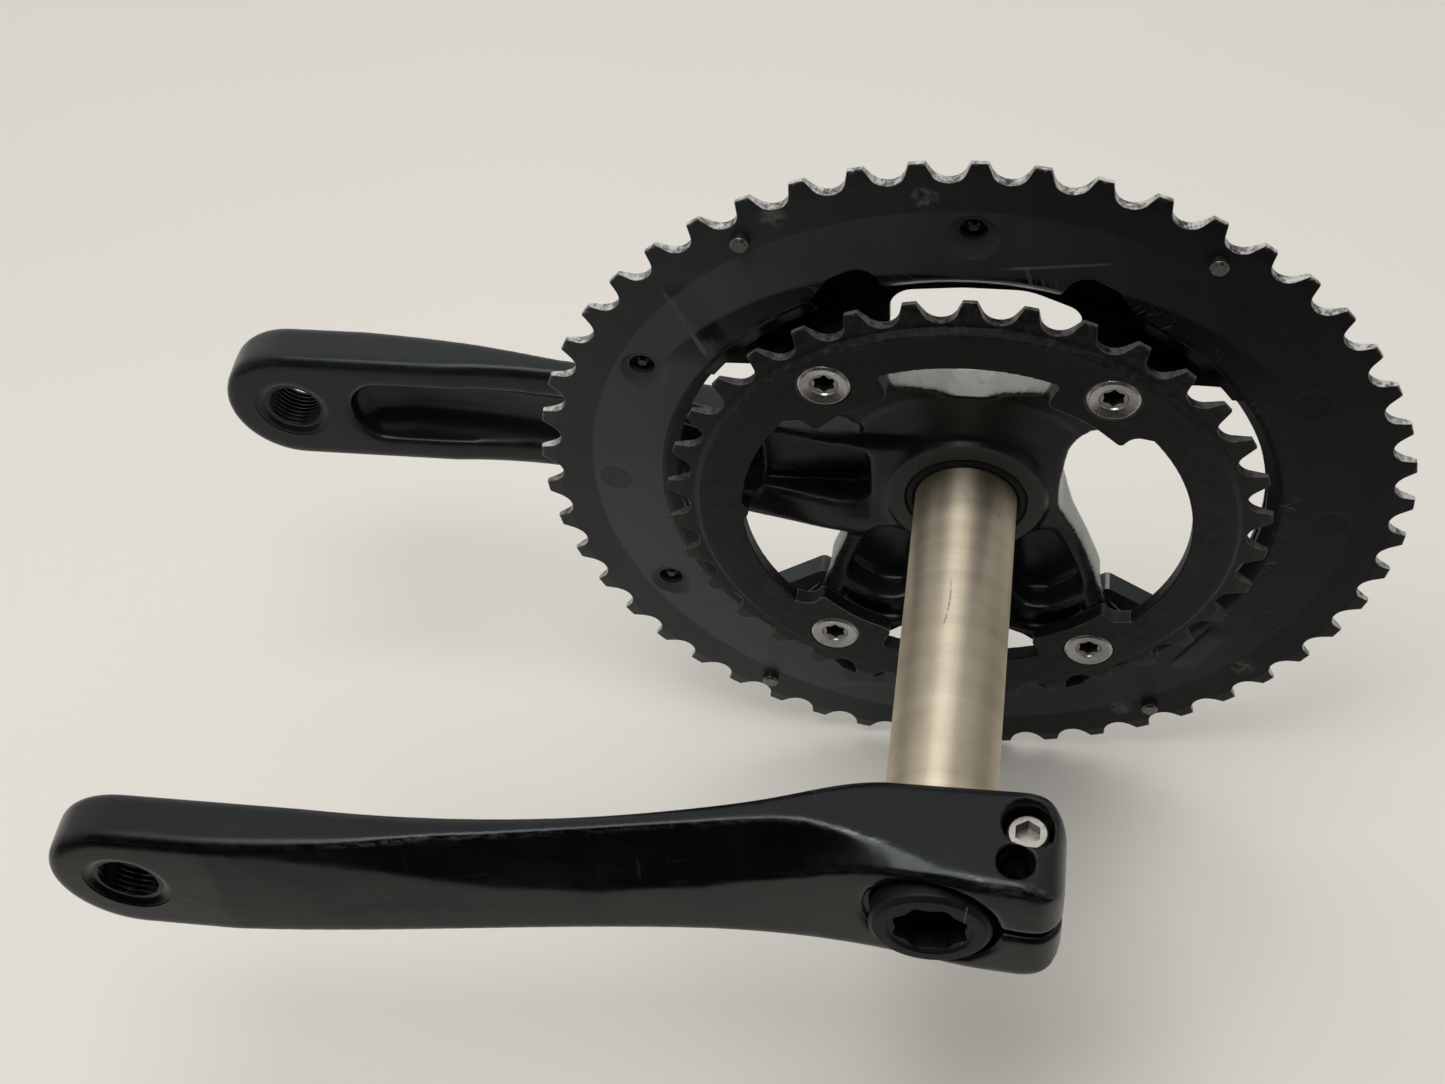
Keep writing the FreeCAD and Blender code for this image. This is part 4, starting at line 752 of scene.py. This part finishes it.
def left_arm():
    inner_face, outer_face = 63.0, 75.3
    plugs = [bore(PEDAL_AXIS, [(7.9, inner_face), (7.9, outer_face)], -1)]
    cutters = [pedal_bore(inner_face, outer_face, -1),
               bore(HUB_AXIS, [(12.06, 40.0), (12.06, 64.9), (14.2, 64.9), (14.2, 82.0)], -1)]
    thread = pedal_thread(inner_face + 0.9, outer_face - 0.9, -1, -1)
    item = forged("left_crank_arm", plugs, [], cutters, [thread], 0.5, 10, 1.6)
    rub_crest(item.data)


def ease_at_root(points):
    """The right arm's root is rounded most; the rest keeps crisper edges."""
    x, y, z = points.T
    root = (x < -18.0) & (x > -62.0) & (np.abs(z) < 22.0)
    hollows = (np.abs(x) < 36.0) & (z < -10.0) & (y > 43.0)
    return np.where(root | hollows, 1.0, 0.42)


def root_hollow():
    """Rounded box that runs the hollow at the right arm's root into the end of the long trough."""
    corner = 4.0
    centres = [(-27.0, -1.0), (-52.0, -1.0), (-52.0, 10.2), (-27.0, 10.2)]
    turns = [-90, -180, -270, -360]
    outline = []
    for (x, z), first in zip(centres, turns):
        for step in range(7):
            angle = math.radians(first + 90 - 15 * step)
            outline.append((x + corner * math.cos(angle), z + corner * math.sin(angle)))
    mesh = bmesh.new()
    rings = [[mesh.verts.new((x, y, z)) for x, z in outline] for y in (40.0, 54.6)]
    for near, far in zip(range(len(outline)), list(range(1, len(outline))) + [0]):
        mesh.faces.new([rings[0][near], rings[0][far], rings[1][far], rings[1][near]])
    for ring in rings:
        mesh.faces.new(ring)
    bmesh.ops.recalc_face_normals(mesh, faces=mesh.faces)
    return mesh


def right_arm():
    inner_face, outer_face = 62.6, 75.3
    plugs = [bore(PEDAL_AXIS, [(7.9, inner_face), (7.9, outer_face)], 1),
             bore(HUB_AXIS, [(14.8, 45.0), (14.8, 48.9), (12.5, 48.9), (12.5, 69.0)], 1)]
    cutters = [pedal_bore(inner_face, outer_face, 1),
               bore(HUB_AXIS, [(14.6, 42.0), (14.6, 45.1), (14.3, 45.5), (14.3, 48.6), (12.06, 48.6),
                               (12.06, 66.0), (10.02, 66.0), (10.02, 72.0)], 1)]
    thread = pedal_thread(inner_face + 0.9, outer_face - 0.9, 1, 1)
    forged("right_crank_arm", plugs, [root_hollow()], cutters, [thread], 0.6, 26, 0.35, ease_at_root)


left_arm()
right_arm()


# ------------------------------------------------------------------ stage, light and camera
DARK_QUARTER = (0.0, -0.80, 0.60)
BRIGHT_BACK = (-0.12, 0.60, 0.79)


def stage():
    low = CAD_LOW
    mesh = bpy.data.meshes.new("floor")
    reach = 6.0
    level = low.z - 0.0005
    mesh.from_pydata([(-reach, -reach, level), (reach, -reach, level), (reach, reach, level),
                      (-reach, reach, level)], [], [(0, 1, 2, 3)])
    floor = bpy.data.objects.new("floor", mesh)
    scene.collection.objects.link(floor)
    s = Shader("pale_floor")
    cloud = s.noise(0.004, detail=2.0)
    colour = s.mix(cloud, (0.70, 0.675, 0.625), (0.72, 0.70, 0.65))
    mesh.materials.append(s.finish(colour, 0.0, 0.22, Specular_IOR_Level=0.35))


def front_flag():
    """Black card on the floor in front of the object, seen only in reflections from above: glossy
    black sides mirror it, as they mirror the dark room before a light tent. The floor lies open
    to light and to the camera, because the card's underside is clear and it casts no shadow."""
    mesh = bpy.data.meshes.new("front_flag")
    level = CAD_LOW.z - 0.0003
    near, far, reach = -0.146, -1.6, 1.6
    mesh.from_pydata([(-reach, far, level), (reach, far, level), (reach, near, level), (-reach, near, level)],
                     [], [(0, 1, 2, 3)])
    card = bpy.data.objects.new("front_flag", mesh)
    scene.collection.objects.link(card)
    s = Shader("black_card")
    colour = s.mix(s.noise(0.01), (0.003, 0.003, 0.003), (0.005, 0.005, 0.005))
    mesh.materials.append(s.finish(colour, 0.0, 0.9))
    clear = s.add("ShaderNodeBsdfTransparent")
    sides = s.add("ShaderNodeMixShader")
    s.feed(sides.inputs[0], s.add("ShaderNodeNewGeometry").outputs["Backfacing"])
    s.feed(sides.inputs[1], s.surface.outputs[0])
    s.feed(sides.inputs[2], clear.outputs[0])
    output = next(n for n in s.tree.nodes if n.type == "OUTPUT_MATERIAL")
    s.feed(output.inputs["Surface"], sides.outputs[0])
    card.visible_camera = False
    card.visible_diffuse = False
    card.visible_shadow = False


def area_light(name, place, target, width, height, power, colour=(1.0, 1.0, 1.0)):
    data = bpy.data.lights.new(name, "AREA")
    data.shape = "RECTANGLE"
    data.size = width
    data.size_y = height
    data.energy = power
    data.color = colour
    lamp = bpy.data.objects.new(name, data)
    scene.collection.objects.link(lamp)
    lamp.location = place
    lamp.rotation_euler = (Vector(target) - Vector(place)).to_track_quat("-Z", "Y").to_euler()


def surroundings():
    """Light tent: bright above and behind, dimmer at the sides, dark towards its open front."""
    world = bpy.data.worlds.new("light_tent")
    scene.world = world
    world.use_nodes = True
    tree = world.node_tree
    coordinate = tree.nodes.new("ShaderNodeTexCoord")

    def lobe(direction, start, end, outside, inside):
        dot = tree.nodes.new("ShaderNodeVectorMath")
        dot.operation = "DOT_PRODUCT"
        tree.links.new(coordinate.outputs["Generated"], dot.inputs[0])
        dot.inputs[1].default_value = Vector(direction).normalized()
        ramp = tree.nodes.new("ShaderNodeMapRange")
        ramp.interpolation_type = "SMOOTHSTEP"
        for key, number in (("From Min", start), ("From Max", end), ("To Min", outside), ("To Max", inside)):
            ramp.inputs[key].default_value = number
        tree.links.new(dot.outputs["Value"], ramp.inputs["Value"])
        return ramp.outputs["Result"]

    both = tree.nodes.new("ShaderNodeMath")
    both.operation = "MULTIPLY"
    tree.links.new(lobe(BRIGHT_BACK, 0.1, 0.95, 0.42, 1.15), both.inputs[0])
    tree.links.new(lobe(DARK_QUARTER, 0.45, 0.88, 1.0, 0.0), both.inputs[1])
    background = next(n for n in tree.nodes if n.type == "BACKGROUND")
    background.inputs["Color"].default_value = (1.0, 0.985, 0.965, 1.0)
    tree.links.new(both.outputs[0], background.inputs["Strength"])


def camera():
    data = bpy.data.cameras.new("camera")
    data.sensor_fit = "HORIZONTAL"
    data.sensor_width = 36.0
    data.lens = 54.46
    data.clip_start = 0.01
    item = bpy.data.objects.new("camera", data)
    scene.collection.objects.link(item)
    forward = Vector((-0.13700778, 0.6249671, -0.76853431)).normalized()
    up = Vector((-0.06011375, 0.76917491, 0.6362046))
    right = forward.cross(up).normalized()
    up = right.cross(forward)
    item.matrix_world = Matrix((
        (right.x, up.x, -forward.x, 14.485 * MM), (right.y, up.y, -forward.y, -292.930 * MM),
        (right.z, up.z, -forward.z, 394.665 * MM), (0, 0, 0, 1)))
    scene.camera = item


stage()
front_flag()
surroundings()
area_light("over_light", (-0.16, -0.12, 0.90), (-0.05, -0.10, 0), 0.5, 0.5, 5.0)
camera()
scene.view_settings.view_transform = "Standard"
scene.view_settings.look = "None"
